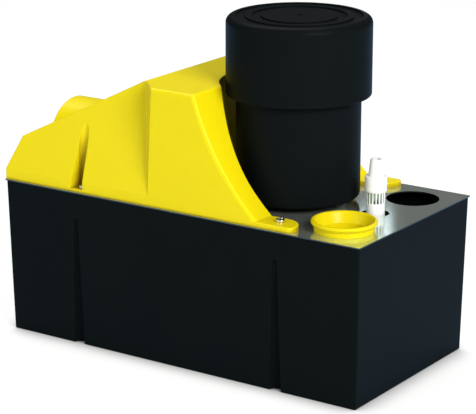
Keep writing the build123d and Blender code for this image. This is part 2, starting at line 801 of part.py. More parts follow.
def make_pump_column():
    column = rod(column_hub_radius, flange_bottom, tank_height, motor_x)
    for k in range(foot_count):
        half = column_arm_width / 2
        arm = block((0, foot_circle), (-half, half), (flange_bottom, tank_height))
        arm += rod(half, flange_bottom, tank_height, foot_circle)
        gusset = make_face(Plane.XZ * Polyline(
            (column_radius - 1, flange_bottom), (foot_circle - 8, flange_bottom),
            (column_radius - 1, flange_bottom - 22), close=True))
        arm += extrude(gusset, 1.5, both=True)
        column += Pos(motor_x, 0, 0) * Rot(0, 0, 360 * k / foot_count) * arm
    column += rod(column_radius, volute_top, tank_height, motor_x)
    column += rod(column_foot_radius, volute_top, volute_top + column_flange, motor_x)
    column -= rod(column_bore, volute_top - 1, tank_height + 1, motor_x)
    window_bottom = volute_top + column_flange + bush_height + 4
    half = column_window_width / 2
    window = block((0, column_radius + 2), (-half, half), (window_bottom, window_bottom + column_window_height))
    for k in range(foot_count):
        column -= Pos(motor_x, 0, 0) * Rot(0, 0, 60 + 360 * k / foot_count) * window
    for x, y in around(foot_count, foot_circle):
        column -= rod(motor_screw_radius + screw_hole_gap, flange_bottom - 1, tank_height + 1, x, y)
    for x, y in column_screw_points():
        column -= rod(small_screw_radius + screw_hole_gap, volute_top - 1, volute_top + 10, x, y)
    column += ring(column_bore + 0.5, column_bore - 2, volute_top, volute_top + bush_lift - seat_gap, motor_x)
    return column


def make_column_bush():
    bottom = volute_top + bush_lift
    return ring(column_bore - running_gap, shaft_radius + running_gap, bottom, bottom + bush_height, motor_x)


def volute_quarters(extra):
    """Start, middle and end points of the four quarter arcs that wind out towards the outlet."""
    x, y = motor_x, 0.0
    for k in range(4):
        radius = volute_start_radius + volute_growth * k + extra
        angles = [math.radians(outlet_angle() + 90 * (k - 1 + share)) for share in (0, 0.5, 1)]
        yield [(x + radius * math.cos(a), y + radius * math.sin(a)) for a in angles]
        x -= volute_growth * math.cos(angles[2])
        y -= volute_growth * math.sin(angles[2])


def volute_outline(extra):
    """Snail shape: four quarter arcs whose radius grows, closed by the step at the tongue."""
    quarters = list(volute_quarters(extra))
    arcs = [ThreePointArc(*points) for points in quarters]
    return make_face([*arcs, Line(quarters[-1][2], quarters[0][0])])


def outlet_angle():
    """Heading of the outlet duct, so that it runs from the volute's side to the discharge pipe."""
    reach = discharge_x - motor_x
    return math.degrees(math.asin(outlet_tangent_radius / reach))


def outlet_run():
    """Distance along the duct from the tangent point to the discharge pipe."""
    return math.hypot(discharge_x - motor_x, 0) * math.cos(math.radians(outlet_angle()))


def duct(radius, start, end):
    """Round bar along the outlet duct, between two distances from the tangent point."""
    heading = math.radians(outlet_angle())
    tangent_x = motor_x + outlet_tangent_radius * math.sin(heading)
    tangent_y = -outlet_tangent_radius * math.cos(heading)
    x = tangent_x + start * math.cos(heading)
    y = tangent_y + start * math.sin(heading)
    plane = Plane(origin=(x, y, outlet_z), z_dir=(math.cos(heading), math.sin(heading), 0))
    return extrude(plane * Circle(radius), end - start)


def lug_points():
    """Middle of the second, third and fourth quarters, just outside the volute's wall."""
    for quarter in list(volute_quarters(volute_wall + volute_lug_standoff))[1:]:
        yield quarter[1]


def make_volute_housing():
    body = Pos(0, 0, chamber_bottom) * extrude(volute_outline(volute_wall), volute_top - chamber_bottom)
    socket = pipe_radius + seat_gap
    body += duct(socket + socket_wall, 0, socket_reach)
    for x, y in lug_points():
        body += rod(volute_lug_radius, chamber_bottom, volute_top, x, y)
    body -= Pos(0, 0, chamber_bottom - 1) * extrude(volute_outline(0), volute_chamber + 1)
    body -= duct(pipe_bore, 0, socket_reach)
    body -= duct(socket, socket_reach - pipe_insertion, socket_reach + 1)
    body -= rod(volute_shaft_hole, chamber_top - 1, volute_top + 1, motor_x)
    for x, y in column_screw_points():
        body -= rod(small_screw_radius + running_gap, chamber_top - 1, volute_top + 1, x, y)
    for x, y in lug_points():
        body -= rod(small_screw_radius + running_gap, chamber_bottom - 1, chamber_bottom + 12, x, y)
    return body


def make_volute_cover():
    """Underside plate with the inlet eye and a castellated skirt that strains the water."""
    cover = Pos(0, 0, cover_bottom_z) * extrude(volute_outline(volute_wall), volute_cover_thickness)
    for x, y in lug_points():
        cover += rod(volute_lug_radius, cover_bottom_z, chamber_bottom, x, y)
    cover -= rod(inlet_eye_radius, cover_bottom_z - 1, chamber_bottom + 1, motor_x)
    skirt_bottom = tank_floor + loose_gap
    skirt = ring(strainer_radius, strainer_radius - strainer_wall, skirt_bottom, cover_bottom_z, motor_x)
    slots = None
    for k in range(strainer_teeth):
        gap = block((strainer_radius - 8, strainer_radius + 4), (-strainer_tooth / 2, strainer_tooth / 2),
                    (skirt_bottom - 1, cover_bottom_z - 1))
        gap = Pos(motor_x, 0, 0) * Rot(0, 0, 360 * k / strainer_teeth) * gap
        slots = gap if slots is None else slots + gap
    cover += skirt - slots
    for x, y in lug_points():
        cover -= rod(small_screw_radius + screw_hole_gap, cover_bottom_z - 1, chamber_bottom + 1, x, y)
    return cover


def make_volute_screws():
    screws = []
    for x, y in column_screw_points():
        seat = volute_top + column_flange
        screw = rod(small_screw_radius, chamber_top + 0.5, seat, x, y)
        screws.append(screw + rod(small_screw_head, seat, seat + small_screw_head_height, x, y))
    for x, y in lug_points():
        screw = rod(small_screw_radius, cover_bottom_z, chamber_bottom + 11, x, y)
        head_bottom = cover_bottom_z - small_screw_head_height
        screws.append(screw + rod(small_screw_head, head_bottom, cover_bottom_z, x, y))
    return screws


# Discharge pipe and check valve -----------------------------------------------------------------------

def make_discharge_pipe():
    heading = math.radians(outlet_angle())
    along = Vector(math.cos(heading), math.sin(heading), 0)
    corner = Vector(discharge_x, 0, outlet_z)
    start = corner - along * (outlet_run() - socket_reach + pipe_insertion - seat_gap)
    bend_start = corner - along * pipe_bend
    bend_end = corner + Vector(0, 0, pipe_bend)
    middle = corner - along * pipe_bend * (1 - math.sin(math.pi / 4))
    middle += Vector(0, 0, pipe_bend * (1 - math.cos(math.pi / 4)))
    path = [Line(start, bend_start), ThreePointArc(bend_start, middle, bend_end)]
    path.append(Line(bend_end, Vector(discharge_x, 0, pipe_top)))
    route = Wire(path)
    section = Plane(origin=start, z_dir=along)
    return sweep(section * Circle(pipe_radius), route) - sweep(section * Circle(pipe_bore), route)


def make_valve_union():
    """Clear fluted union between the pipe and the valve body, with the valve seat on its top."""
    union = rod(pipe_radius, pipe_top, valve_bottom, discharge_x)
    flute = rod(union_flute_radius, pipe_top + 1, valve_bottom - 1)
    for x, y in around(union_flutes, pipe_radius + 0.2, 0, discharge_x):
        union -= Pos(x, y, 0) * flute
    union += rod(pipe_bore - running_gap, pipe_top - union_tail, pipe_top, discharge_x)
    union += rod(union_neck_radius, valve_bottom, seat_z, discharge_x)
    union -= rod(union_bore, pipe_top - union_tail - 1, seat_z - 1.5, discharge_x)
    return union - rod(seat_bore, seat_z - 2, seat_z + 1, discharge_x)


def make_valve_body():
    skirt_top = valve_bottom + valve_skirt_height
    body = rod(valve_radius, valve_bottom, skirt_top, discharge_x)
    body = fillet(body.edges().group_by(Axis.Z)[-1], 0.8)
    spigot = Cone(spigot_foot_radius, spigot_top_radius, valve_height - valve_skirt_height,
                  align=(Align.CENTER, Align.CENTER, Align.MIN))
    body += Pos(discharge_x, 0, skirt_top) * spigot
    body -= rod(union_neck_radius + seat_gap, valve_bottom - 1, seat_z, discharge_x)
    chamber_end = seat_z + valve_chamber_height
    spring_end = chamber_end + spring_chamber_height
    body -= rod(valve_chamber_radius, seat_z - 1, chamber_end, discharge_x)
    body -= rod(spring_chamber_radius, chamber_end - 1, spring_end, discharge_x)
    return body - rod(spigot_bore, spring_end - 1, valve_bottom + valve_height + 1, discharge_x)


def make_valve_poppet():
    bottom = seat_z + seat_gap
    poppet = rod(poppet_radius, bottom, bottom + poppet_thickness, discharge_x)
    poppet += rod(poppet_stem_radius, bottom, bottom + poppet_thickness + poppet_stem_height, discharge_x)
    return chamfer(poppet.edges().group_by(Axis.Z)[0], 0.5)


def make_valve_spring():
    bottom = seat_z + seat_gap + poppet_thickness + spring_wire + seat_gap
    top = seat_z + valve_chamber_height + spring_chamber_height - spring_wire - seat_gap
    helix = Helix(pitch=(top - bottom) / spring_turns, height=top - bottom, radius=spring_mean_radius)
    start = helix @ 0
    section = Plane(origin=start, z_dir=helix % 0) * Circle(spring_wire)
    return Pos(discharge_x, 0, bottom) * sweep(section, helix, is_frenet=True)


# Inlet collar -----------------------------------------------------------------------------------------

def make_inlet_collar():
    top = plate_top + collar_height
    lip_bottom = top - collar_lip_height
    shank_radius = inlet_hole_radius - seat_gap
    snap_top = tank_height - loose_gap
    return revolved([
        (collar_bore, plate_top - collar_shank_depth), (shank_radius, plate_top - collar_shank_depth),
        (shank_radius, snap_top - collar_snap_height), (shank_radius + collar_snap, snap_top - 0.8),
        (shank_radius, snap_top), (shank_radius, plate_top), (collar_body_radius, plate_top),
        (collar_body_radius, lip_bottom - collar_lip_blend), (collar_lip_radius, lip_bottom),
        (collar_lip_radius, top - 0.8), (collar_lip_radius - 0.8, top), (collar_mouth_radius + 0.8, top),
        (collar_mouth_radius, top - 0.8), (collar_bore, plate_top)], inlet_x, -inlet_y)


# Cable gland ------------------------------------------------------------------------------------------

def make_cable_gland():
    wall_x = hood_end_x + recess_depth
    z = plate_top + gland_height
    dome = long_rod(gland_dome_radius, wall_x - gland_dome_length, wall_x, 0, z)
    dome = fillet(dome.edges().group_by(Axis.X)[0], 2)
    collar = Plane.YZ.offset(wall_x - 3) * Pos(0, z) * RegularPolygon(gland_nut_radius, 6)
    dome += extrude(collar, 3)
    dome += long_rod(gland_thread_radius, wall_x - 1, wall_x + gland_tail, 0, z)
    return dome - long_rod(gland_bore, wall_x - gland_dome_length - 1, wall_x + gland_tail + 1, 0, z)


def make_gland_locknut():
    face_x = hood_end_x + recess_depth + cover_wall
    z = plate_top + gland_height
    nut = extrude(Plane.YZ.offset(face_x) * Pos(0, z) * RegularPolygon(gland_nut_radius, 6), gland_nut_length)
    return nut - long_rod(gland_thread_radius + running_gap, face_x - 1, face_x + gland_nut_length + 1, 0, z)


# Floats, rockers and switches -------------------------------------------------------------------------

def rod_points():
    yield pump_rod_x, rod_y
    yield 2 * bracket_x - pump_rod_x, -rod_y


def float_body(radius, bottom, height, x, y):
    body = rod(radius, bottom, bottom + height, x, y)
    body = fillet(body.edges(), float_fillet)
    return body - rod(rod_radius + running_gap, bottom - 1, bottom + height + 1, x, y)


def float_rod(bottom, height):
    """Pump side rod: washer below the float, collar above it, guide collar and cross pin on top."""
    x, y = pump_rod_x, rod_y
    part = rod(rod_radius, bottom - rod_tail, pin_z + rod_above_pin, x, y)
    part += rod(rod_collar_radius + 2, bottom - seat_gap - 2, bottom - seat_gap, x, y)
    collar_bottom = bottom + height + seat_gap
    part += rod(rod_collar_radius, collar_bottom, collar_bottom + 2, x, y)
    rest = plate_top + guide_flange_height + loose_gap
    part += rod(rod_collar_radius, rest, rest + rod_collar_height, x, y)
    outer = rocker_y + rocker_thickness / 2 + 1.4
    return part + cross_rod(rod_pin_radius, y, outer, x, pin_z)


def float_guide(bottom, height):
    """Guide tube for the pump side rod, whose foot stops the rising float."""
    x, y = pump_rod_x, rod_y
    tube_bottom = bottom + height + seat_gap + 2 + float_travel + loose_gap
    guide = rod(guide_radius, tube_bottom, plate_top, x, y)
    guide += rod(guide_flange_radius, plate_top, plate_top + guide_flange_height, x, y)
    return guide - rod(rod_radius + slide_gap, tube_bottom - 1, plate_top + guide_flange_height + 1, x, y)


def make_rocker():
    """Lever with a fork slot for the rod's pin and a nose that presses the switch."""
    sketch = Circle(rocker_boss_radius)
    reach = rocker_reach + 6
    sketch += Pos(reach / 2, 0) * Rectangle(reach, 2 * rocker_arm_half)
    sketch += Pos(reach, 0) * Circle(rocker_arm_half)
    sketch += Pos(nose_reach, nose_height / 2) * Rectangle(2 * nose_radius, nose_height)
    sketch += Pos(nose_reach, nose_height) * Circle(nose_radius)
    half_slot = rod_pin_radius + loose_gap
    far = rocker_reach / math.cos(math.radians(rocker_tilt))
    middle = (rocker_reach + far) / 2
    sketch -= Pos(middle, 0) * SlotCenterToCenter(far - rocker_reach + 0.4, 2 * half_slot)
    sketch -= Circle(rocker_pin_radius + running_gap)
    tilt = math.radians(rocker_tilt)
    plane = Plane(origin=(switch_x, rocker_y + rocker_thickness / 2, pivot_z),
                  x_dir=(math.cos(tilt), 0, -math.sin(tilt)), z_dir=(0, -1, 0))
    return extrude(plane * sketch, rocker_thickness)


def make_rocker_pin():
    shoulder_end = rocker_y - rocker_thickness / 2 - loose_gap
    head_start = rocker_y + rocker_thickness / 2 + loose_gap
    pin = cross_rod(rocker_pin_radius, bracket_half_width - bracket_wall - 1, head_start + 2, switch_x, pivot_z)
    pin += cross_rod(rocker_pin_radius + 1.5, bracket_half_width, shoulder_end, switch_x, pivot_z)
    return pin + cross_rod(rocker_pin_radius + 1.5, head_start, head_start + 2, switch_x, pivot_z)


def nose_rest_height():
    tilt = math.radians(rocker_tilt)
    return pivot_z - nose_reach * math.sin(tilt) + nose_height * math.cos(tilt) + nose_radius


def switch_bottom():
    return nose_rest_height() + loose_gap + plunger_exposed


def switch_screw_points():
    """Two fixing screws of the pump side switch, as (x, z)."""
    left = switch_x + nose_reach - switch_lead
    yield left + 3.5, switch_bottom() + 3.5
    yield left + switch_length - 3.5, switch_bottom() + switch_height - 3.5


def make_switch():
    left = switch_x + nose_reach - switch_lead
    bottom = switch_bottom()
    y_range = (bracket_half_width, bracket_half_width + switch_thickness)
    body = block((left, left + switch_length), y_range, (bottom, bottom + switch_height))
    body = chamfer(body.edges().filter_by(Axis.Y), 0.8)
    body -= rod(plunger_radius + seat_gap, bottom - 1, bottom + plunger_length, switch_x + nose_reach, rocker_y)
    for x, z in switch_screw_points():
        body -= cross_rod(small_screw_radius + screw_hole_gap, y_range[0] - 1, y_range[1] + 1, x, z)
    return body


def make_plunger():
    bottom = nose_rest_height() + loose_gap
    plunger = rod(plunger_radius, bottom, bottom + plunger_length, switch_x + nose_reach, rocker_y)
    return fillet(plunger.edges().group_by(Axis.Z)[0], 0.8)


def make_switch_terminals():
    left = switch_x + nose_reach - switch_lead
    blades = []
    for k in range(2):
        z = switch_bottom() + 5 + 6 * k
        blades.append(block(
            (left - terminal_length, left),
            (rocker_y - terminal_width / 2, rocker_y + terminal_width / 2),
            (z, z + terminal_thickness)))
    return blades


def make_switch_screws():
    screws = []
    outer = bracket_half_width + switch_thickness
    inner = bracket_half_width - bracket_wall - 1
    for x, z in switch_screw_points():
        screw = cross_rod(small_screw_radius, inner, outer, x, z)
        screws.append(screw + cross_rod(small_screw_head, outer, outer + small_screw_head_height, x, z))
    return screws


def bracket_screw_points():
    for shift in (-bracket_length / 2 + 8, bracket_length / 2 - 8):
        yield bracket_x + shift, 0


def make_switch_bracket():
    x_range = (bracket_x - bracket_length / 2, bracket_x + bracket_length / 2)
    outside = block(x_range, (-bracket_half_width, bracket_half_width), (plate_top, plate_top + bracket_height))
    inner_half = bracket_half_width - bracket_wall
    hollow = block(x_range, (-inner_half, inner_half), (plate_top + bracket_wall, plate_top + bracket_height))
    bracket = outside - hollow
    holes = cross_rod(rocker_pin_radius + running_gap, 0, bracket_half_width + 1, switch_x, pivot_z)
    for x, z in switch_screw_points():
        holes += cross_rod(small_screw_radius + running_gap, 0, bracket_half_width + 1, x, z)
    bracket -= holes
    bracket -= turned(holes)
    for x, y in bracket_screw_points():
        bracket -= rod(small_screw_radius + screw_hole_gap, plate_top - 1, plate_top + 5, x, y)
    return bracket


def block_screw_points():
    for shift in (-block_length / 2 + 3, block_length / 2 - 3):
        yield block_x, block_y + shift


def plate_screw_points():
    yield from bracket_screw_points()
    yield from block_screw_points()


def make_plate_screws():
    screws = []
    seats = [(x, y, plate_top + bracket_wall) for x, y in bracket_screw_points()]
    seats += [(x, y, plate_top + block_height / 2) for x, y in block_screw_points()]
    for x, y, seat in seats:
        screw = rod(small_screw_radius, tank_height - 4, seat, x, y)
        screws.append(screw + rod(small_screw_head, seat, seat + small_screw_head_height, x, y))
    return screws


def pole_centres():
    """Middle of each pole of the terminal block along Y."""
    span = block_length - 12
    pitch = span / block_poles
    for k in range(block_poles):
        yield block_y - span / 2 + pitch * (k + 0.5)


def make_terminal_block():
    half_length = block_length / 2
    half_width = block_width / 2
    top = plate_top + block_height
    body = block((block_x - half_width, block_x + half_width), (block_y - half_length + 6, block_y + half_length - 6),
                 (plate_top, top))
    ears = block((block_x - 4, block_x + 4), (block_y - half_length, block_y + half_length),
                 (plate_top, plate_top + block_height / 2))
    body += ears
    span = block_length - 12
    for k in range(block_poles + 1):
        y = block_y - span / 2 + span * k / block_poles
        y = min(max(y, block_y - span / 2 + block_rib / 2), block_y + span / 2 - block_rib / 2)
        body += block((block_x - half_width, block_x + half_width), (y - block_rib / 2, y + block_rib / 2),
                      (top, top + block_rib_height))
    for y in pole_centres():
        for x in (block_x - 4, block_x + 4):
            body -= rod(small_screw_radius + running_gap, plate_top + 2, top + 1, x, y)
    for x, y in block_screw_points():
        body -= rod(small_screw_radius + screw_hole_gap, plate_top - 1, top, x, y)
    return body


def make_terminal_screws():
    screws = []
    top = plate_top + block_height
    for y in pole_centres():
        for x in (block_x - 4, block_x + 4):
            screw = rod(small_screw_radius, plate_top + 2.5, top, x, y)
            screws.append(screw + rod(terminal_screw_head, top, top + 1.6, x, y))
    return screws


def alarm_side(make, *sizes):
    """The alarm float's copy of a piece, on the other side of the bracket."""
    return turned(make(*sizes))


nodes = {
    "tank": make_tank(),
    "lid_plate": make_lid_plate(),
    "cover": make_cover(),
    "cover_screws": make_cover_screws(),
    "motor_can": make_motor_can(),
    "motor_cap": make_motor_cap(),
    "motor_feet": make_motor_feet(),
    "motor_screws": make_motor_screws(),
    "lower_end_bracket": make_lower_bracket(),
    "upper_end_bracket": make_upper_bracket(),
    "lower_bearing": make_bearing(lower_seat_mouth(), True),
    "upper_bearing": make_bearing(upper_seat_mouth(), False),
    "stator_core": make_stator_core(),
    "stator_coils": make_stator_coils(),
    "motor_tie_bolts": make_tie_bolts(),
    "shaft": make_shaft(),
    "rotor": make_rotor(),
    "cooling_fan": make_cooling_fan(),
    "slinger": make_slinger(),
    "impeller": make_impeller(),
    "pump_column": make_pump_column(),
    "column_bush": make_column_bush(),
    "volute_housing": make_volute_housing(),
    "volute_cover": make_volute_cover(),
    "volute_screws": make_volute_screws(),
    "discharge_pipe": make_discharge_pipe(),
    "valve_union": make_valve_union(),
    "valve_body": make_valve_body(),
    "valve_poppet": make_valve_poppet(),
    "valve_spring": make_valve_spring(),
    "inlet_collar": make_inlet_collar(),
    "cable_gland": make_cable_gland(),
    "gland_locknut": make_gland_locknut(),
    "pump_float": float_body(pump_float_radius, pump_float_bottom, pump_float_height, pump_rod_x, rod_y),
    "pump_float_rod": float_rod(pump_float_bottom, pump_float_height),
    "pump_float_guide": float_guide(pump_float_bottom, pump_float_height),
    "pump_rocker": make_rocker(),
    "pump_switch": make_switch(),
    "pump_switch_plunger": make_plunger(),
    "alarm_float": alarm_side(
        float_body, alarm_float_radius, alarm_float_bottom, alarm_float_height, pump_rod_x, rod_y),
    "alarm_float_rod": alarm_side(float_rod, alarm_float_bottom, alarm_float_height),
    "alarm_float_guide": alarm_side(float_guide, alarm_float_bottom, alarm_float_height),
    "alarm_rocker": alarm_side(make_rocker),
    "alarm_switch": alarm_side(make_switch),
    "alarm_switch_plunger": alarm_side(make_plunger),
    "rocker_pins": [make_rocker_pin(), turned(make_rocker_pin())],
    "switch_screws": make_switch_screws() + [turned(screw) for screw in make_switch_screws()],
    "switch_terminals": make_switch_terminals() + [turned(blade) for blade in make_switch_terminals()],
    "switch_bracket": make_switch_bracket(),
    "plate_screws": make_plate_screws(),
    "terminal_block": make_terminal_block(),
    "terminal_screws": make_terminal_screws(),
}

os.makedirs("parts", exist_ok=True)
for name, shape in nodes.items():
    solids = shape if isinstance(shape, list) else [shape]
    export_step(Compound(children=[solid for piece in solids for solid in piece.solids()]), f"parts/{name}.step")
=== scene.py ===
"""Finishes, small turned pieces and a studio for a floor-standing condensate pump.

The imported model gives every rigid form. This file adds the pieces that carry fine detail and gives each
surface a procedural finish. It is laid out as an add-on and runs as a script."""

import math

import bmesh
import bpy
import numpy as np
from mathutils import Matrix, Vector


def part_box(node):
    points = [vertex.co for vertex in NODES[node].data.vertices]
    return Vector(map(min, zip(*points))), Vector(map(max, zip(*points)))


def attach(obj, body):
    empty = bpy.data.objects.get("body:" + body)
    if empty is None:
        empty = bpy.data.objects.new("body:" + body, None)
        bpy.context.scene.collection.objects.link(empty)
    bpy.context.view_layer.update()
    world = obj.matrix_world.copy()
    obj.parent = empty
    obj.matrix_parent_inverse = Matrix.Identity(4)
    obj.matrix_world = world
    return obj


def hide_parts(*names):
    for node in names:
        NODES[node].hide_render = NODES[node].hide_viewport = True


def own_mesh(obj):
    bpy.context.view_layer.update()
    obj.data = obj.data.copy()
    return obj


bl_info = {
    "name": "Condensate pump finishes",
    "version": (1, 0, 0),
    "blender": (4, 5, 0),
    "location": "View3D > Sidebar > Pump",
    "description": "Finishes, screws, valve sleeve, gland and studio for a condensate pump",
    "category": "Object",
}

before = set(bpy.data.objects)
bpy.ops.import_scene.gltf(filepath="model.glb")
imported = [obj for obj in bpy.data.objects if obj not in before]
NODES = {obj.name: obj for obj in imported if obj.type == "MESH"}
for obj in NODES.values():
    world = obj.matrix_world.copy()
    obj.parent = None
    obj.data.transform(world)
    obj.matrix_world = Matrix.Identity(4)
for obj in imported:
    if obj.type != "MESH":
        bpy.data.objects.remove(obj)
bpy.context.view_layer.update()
JOIN_DISTANCE = 2e-7                # points of a made mesh that lie closer than this are one
SHARP_EDGE = math.radians(32)       # faces that meet at a larger angle show an edge
FLOOR_HALF = 6.0
FLOOR_DROP = 0.0003                 # the floor lies this far under the foot
SENSOR_WIDTH = 36.0


# Sizes and colours ------------------------------------------------------------------------------------

def size(name, words, value, low=0.0):
    """A length in metres that a user may change."""
    return bpy.props.FloatProperty(name=name, description=words, default=value, min=low, unit="LENGTH",
                                   precision=5)


def colour(name, words, value):
    """A linear colour that a user may change."""
    return bpy.props.FloatVectorProperty(name=name, description=words, default=value, min=0.0, max=1.0,
                                         size=3, subtype="COLOR")


def share(name, words, value):
    """A plain number from 0 to 1 that a user may change."""
    return bpy.props.FloatProperty(name=name, description=words, default=value, min=0.0, max=1.0,
                                   subtype="FACTOR")


class PumpColours(bpy.types.PropertyGroup):
    """Colours and gloss of the visible finishes."""
    cover: colour("Cover", "Yellow of the moulded cover and the inlet collar", (0.84, 0.695, 0.004))
    cover_gloss: share("Cover roughness", "Roughness of the yellow moulding", 0.34)
    tank: colour("Tank", "Black of the tank", (0.0036, 0.0052, 0.0050))
    tank_gloss: share("Tank roughness", "Roughness of the tank wall", 0.42)
    motor: colour("Motor", "Black of the motor can and its cap", (0.0048, 0.0066, 0.0070))
    motor_gloss: share("Motor roughness", "Roughness of the motor mouldings", 0.4)
    plate: colour("Lid plate", "Tone of the bright steel lid", (0.70, 0.78, 0.72))
    plate_gloss: share("Lid roughness", "Roughness of the bright steel lid", 0.12)
    valve: colour("Valve", "White of the check valve", (0.95, 0.96, 0.96))


class PumpSizes(bpy.types.PropertyGroup):
    """Sizes of the pieces that this file makes."""
    screw_head_radius: size("Screw head", "Radius of a cover screw's head", 0.0036, 0.001)
    screw_head_height: size("Screw head height", "Height of a cover screw's head", 0.0022, 0.0005)
    screw_shank_radius: size("Screw shank", "Radius of a cover screw's shank", 0.0019, 0.0005)
    screw_pitch: size("Screw pitch", "Distance between two turns of a cover screw's thread", 0.0008, 0.0003)
    screw_cross: size("Cross slot", "Half length of the cross slot", 0.0021, 0.0005)
    screw_slot: size("Slot width", "Half width of the cross slot", 0.00045, 0.0001)
    sleeve_bore: size("Sleeve bore", "Radius of the bore of the valve sleeve", 0.0036, 0.001)
    sleeve_tail: size("Sleeve tail", "Length of the tail that sits in the pipe", 0.008, 0.001)
    sleeve_neck: size("Sleeve neck", "Length of the neck that carries the valve body", 0.0062, 0.001)
    sleeve_depth: size("Window depth", "Depth of the windows round the valve sleeve", 0.0007, 0.0)
    sleeve_ribs: bpy.props.IntProperty(name="Sleeve ribs", description="Ribs round the valve sleeve",
                                       default=16, min=4, max=40)
    spring_wire: size("Spring wire", "Radius of the wire of the valve spring", 0.00035, 0.0001)
    spring_turns: bpy.props.IntProperty(name="Spring turns", description="Turns of the valve spring",
                                        default=4, min=2, max=12)
    valve_lift: size("Valve lift", "How far the open valve presses its spring together", 0.0025, 0.0)
    gland_bore: size("Gland bore", "Radius of the gland's bore", 0.004, 0.001)
    gland_dome: size("Gland dome", "Radius of the gland's domed cap", 0.008, 0.002)
    gland_reach: size("Gland reach", "How far the gland stands out from the wall", 0.007, 0.004)
    gland_pitch: size("Gland pitch", "Distance between two turns of the gland's thread", 0.0015, 0.0005)


class PumpStage(bpy.types.PropertyGroup):
    """Camera and studio."""
    lens: bpy.props.FloatProperty(name="Lens", description="Focal length", default=160.15, min=10.0,
                                  unit="CAMERA")
    heading: bpy.props.FloatProperty(name="Heading", description="Turn of the camera round the pump, from "
                                     "its long near side", default=math.radians(34.2436), subtype="ANGLE")
    height: bpy.props.FloatProperty(name="Height", description="How far the camera looks down",
                                    default=math.radians(16.3398), subtype="ANGLE")
    eye: bpy.props.FloatVectorProperty(name="Eye", description="Place of the camera",
                                       default=(0.8997, -1.3167, 0.5762), size=3, subtype="TRANSLATION")
    key: bpy.props.FloatProperty(name="Key lamp", description="Power of the lamp beyond the inlet end",
                                 default=48.0, min=0.0, unit="POWER")
    fill: bpy.props.FloatProperty(name="Fill lamp", description="Power of the wide lamp by the long side",
                                  default=9.0, min=0.0, unit="POWER")
    top: bpy.props.FloatProperty(name="Top lamp", description="Power of the lamp overhead", default=19.0,
                                 min=0.0, unit="POWER")
    card: bpy.props.FloatProperty(name="Card", description="Power of the low card behind the pump, which "
                                  "only shows in glossy surfaces", default=0.0085, min=0.0, unit="POWER")
    room: share("Room", "Light from the room round the pump", 0.22)
    room_gloss: share("Room in gloss", "Light from the room where a glossy surface reflects it", 0.08)
    floor_glow: bpy.props.FloatProperty(name="Floor glow", description="Brightness of the floor where it "
                                        "is seen or reflected", default=1.12, min=0.0)
    floor_share: share("Floor share", "How much of the floor's look is glow and not shadow", 0.74)
    floor_cool: colour("Floor in gloss", "Colour of the floor where a glossy surface reflects it",
                       (0.22, 0.5, 0.88))


# Shader maths -----------------------------------------------------------------------------------------

class Value:
    """A shader socket. Arithmetic on it adds the Math nodes that it stands for."""

    def __init__(self, shader, socket):
        self.shader = shader
        self.socket = socket

    def beside(self, name):
        """Another output of the node that this socket belongs to."""
        return Value(self.shader, self.socket.node.outputs[name])

    def math(self, operation, *others):
        """A Math node on this socket and others."""
        return self.shader.node("ShaderNodeMath", dict(enumerate((self, *others))), operation=operation)

    def __add__(self, other):
        return self.math("ADD", other)

    def __sub__(self, other):
        return self.math("SUBTRACT", other)

    def __rsub__(self, other):
        return -1 * self + other

    def __mul__(self, other):
        return self.math("MULTIPLY", other)

    def __pow__(self, other):
        return self.math("POWER", other)

    __radd__ = __add__
    __rmul__ = __mul__

    def ramp(self, low, high):
        """0 below low, 1 above high, smooth between."""
        return self.shader.node("ShaderNodeMapRange", {0: self, 1: low, 2: high},
                                interpolation_type="SMOOTHSTEP")


class Shader:
    """The nodes of a material or a world, which all come from one method."""

    def __init__(self, owner):
        self.owner = owner
        owner.use_nodes = True
        self.tree = owner.node_tree

    def node(self, kind, inputs, output=0, **settings):
        """Adds a node: its settings first, then the values or links of its sockets. Returns one output."""
        made = self.tree.nodes.new(kind)
        for key, value in settings.items():
            setattr(made, key, value)
        for key, value in inputs.items():
            self.feed(made.inputs[key], value)
        return Value(self, made.outputs[output])

    def feed(self, socket, value):
        """Links a socket or writes its value; a colour gets its alpha."""
        if isinstance(value, Value):
            self.tree.links.new(value.socket, socket)
        elif socket.type == "RGBA":
            socket.default_value = (*value, 1.0)
        else:
            socket.default_value = value

    def place(self, centre=(0, 0, 0), grain=(1, 1, 1)):
        """Object coordinates about a centre, drawn out by a factor along each axis."""
        here = self.node("ShaderNodeTexCoord", {}, "Object")
        return self.node("ShaderNodeMapping", {"Vector": here, "Location": centre, "Scale": grain},
                         vector_type="TEXTURE")

    def split(self, vector):
        """The three parts of a vector."""
        east = self.node("ShaderNodeSeparateXYZ", {0: vector})
        return east, east.beside("Y"), east.beside("Z")

    def radius(self, centre):
        """Distance from an upright axis, and the height."""
        x, y, z = self.split(self.place(centre))
        return (x * x + y * y) ** 0.5, z

    def noise(self, vector, scale, detail=3.0, rough=0.5):
        """Cloudy noise from 0 to 1."""
        return self.node("ShaderNodeTexNoise", {"Vector": vector, "Scale": scale, "Detail": detail,
                                                "Roughness": rough})

    def blend(self, factor, first, second):
        """Mixes two colours."""
        return self.node("ShaderNodeMix", {0: factor, 6: first, 7: second}, 2, data_type="RGBA")


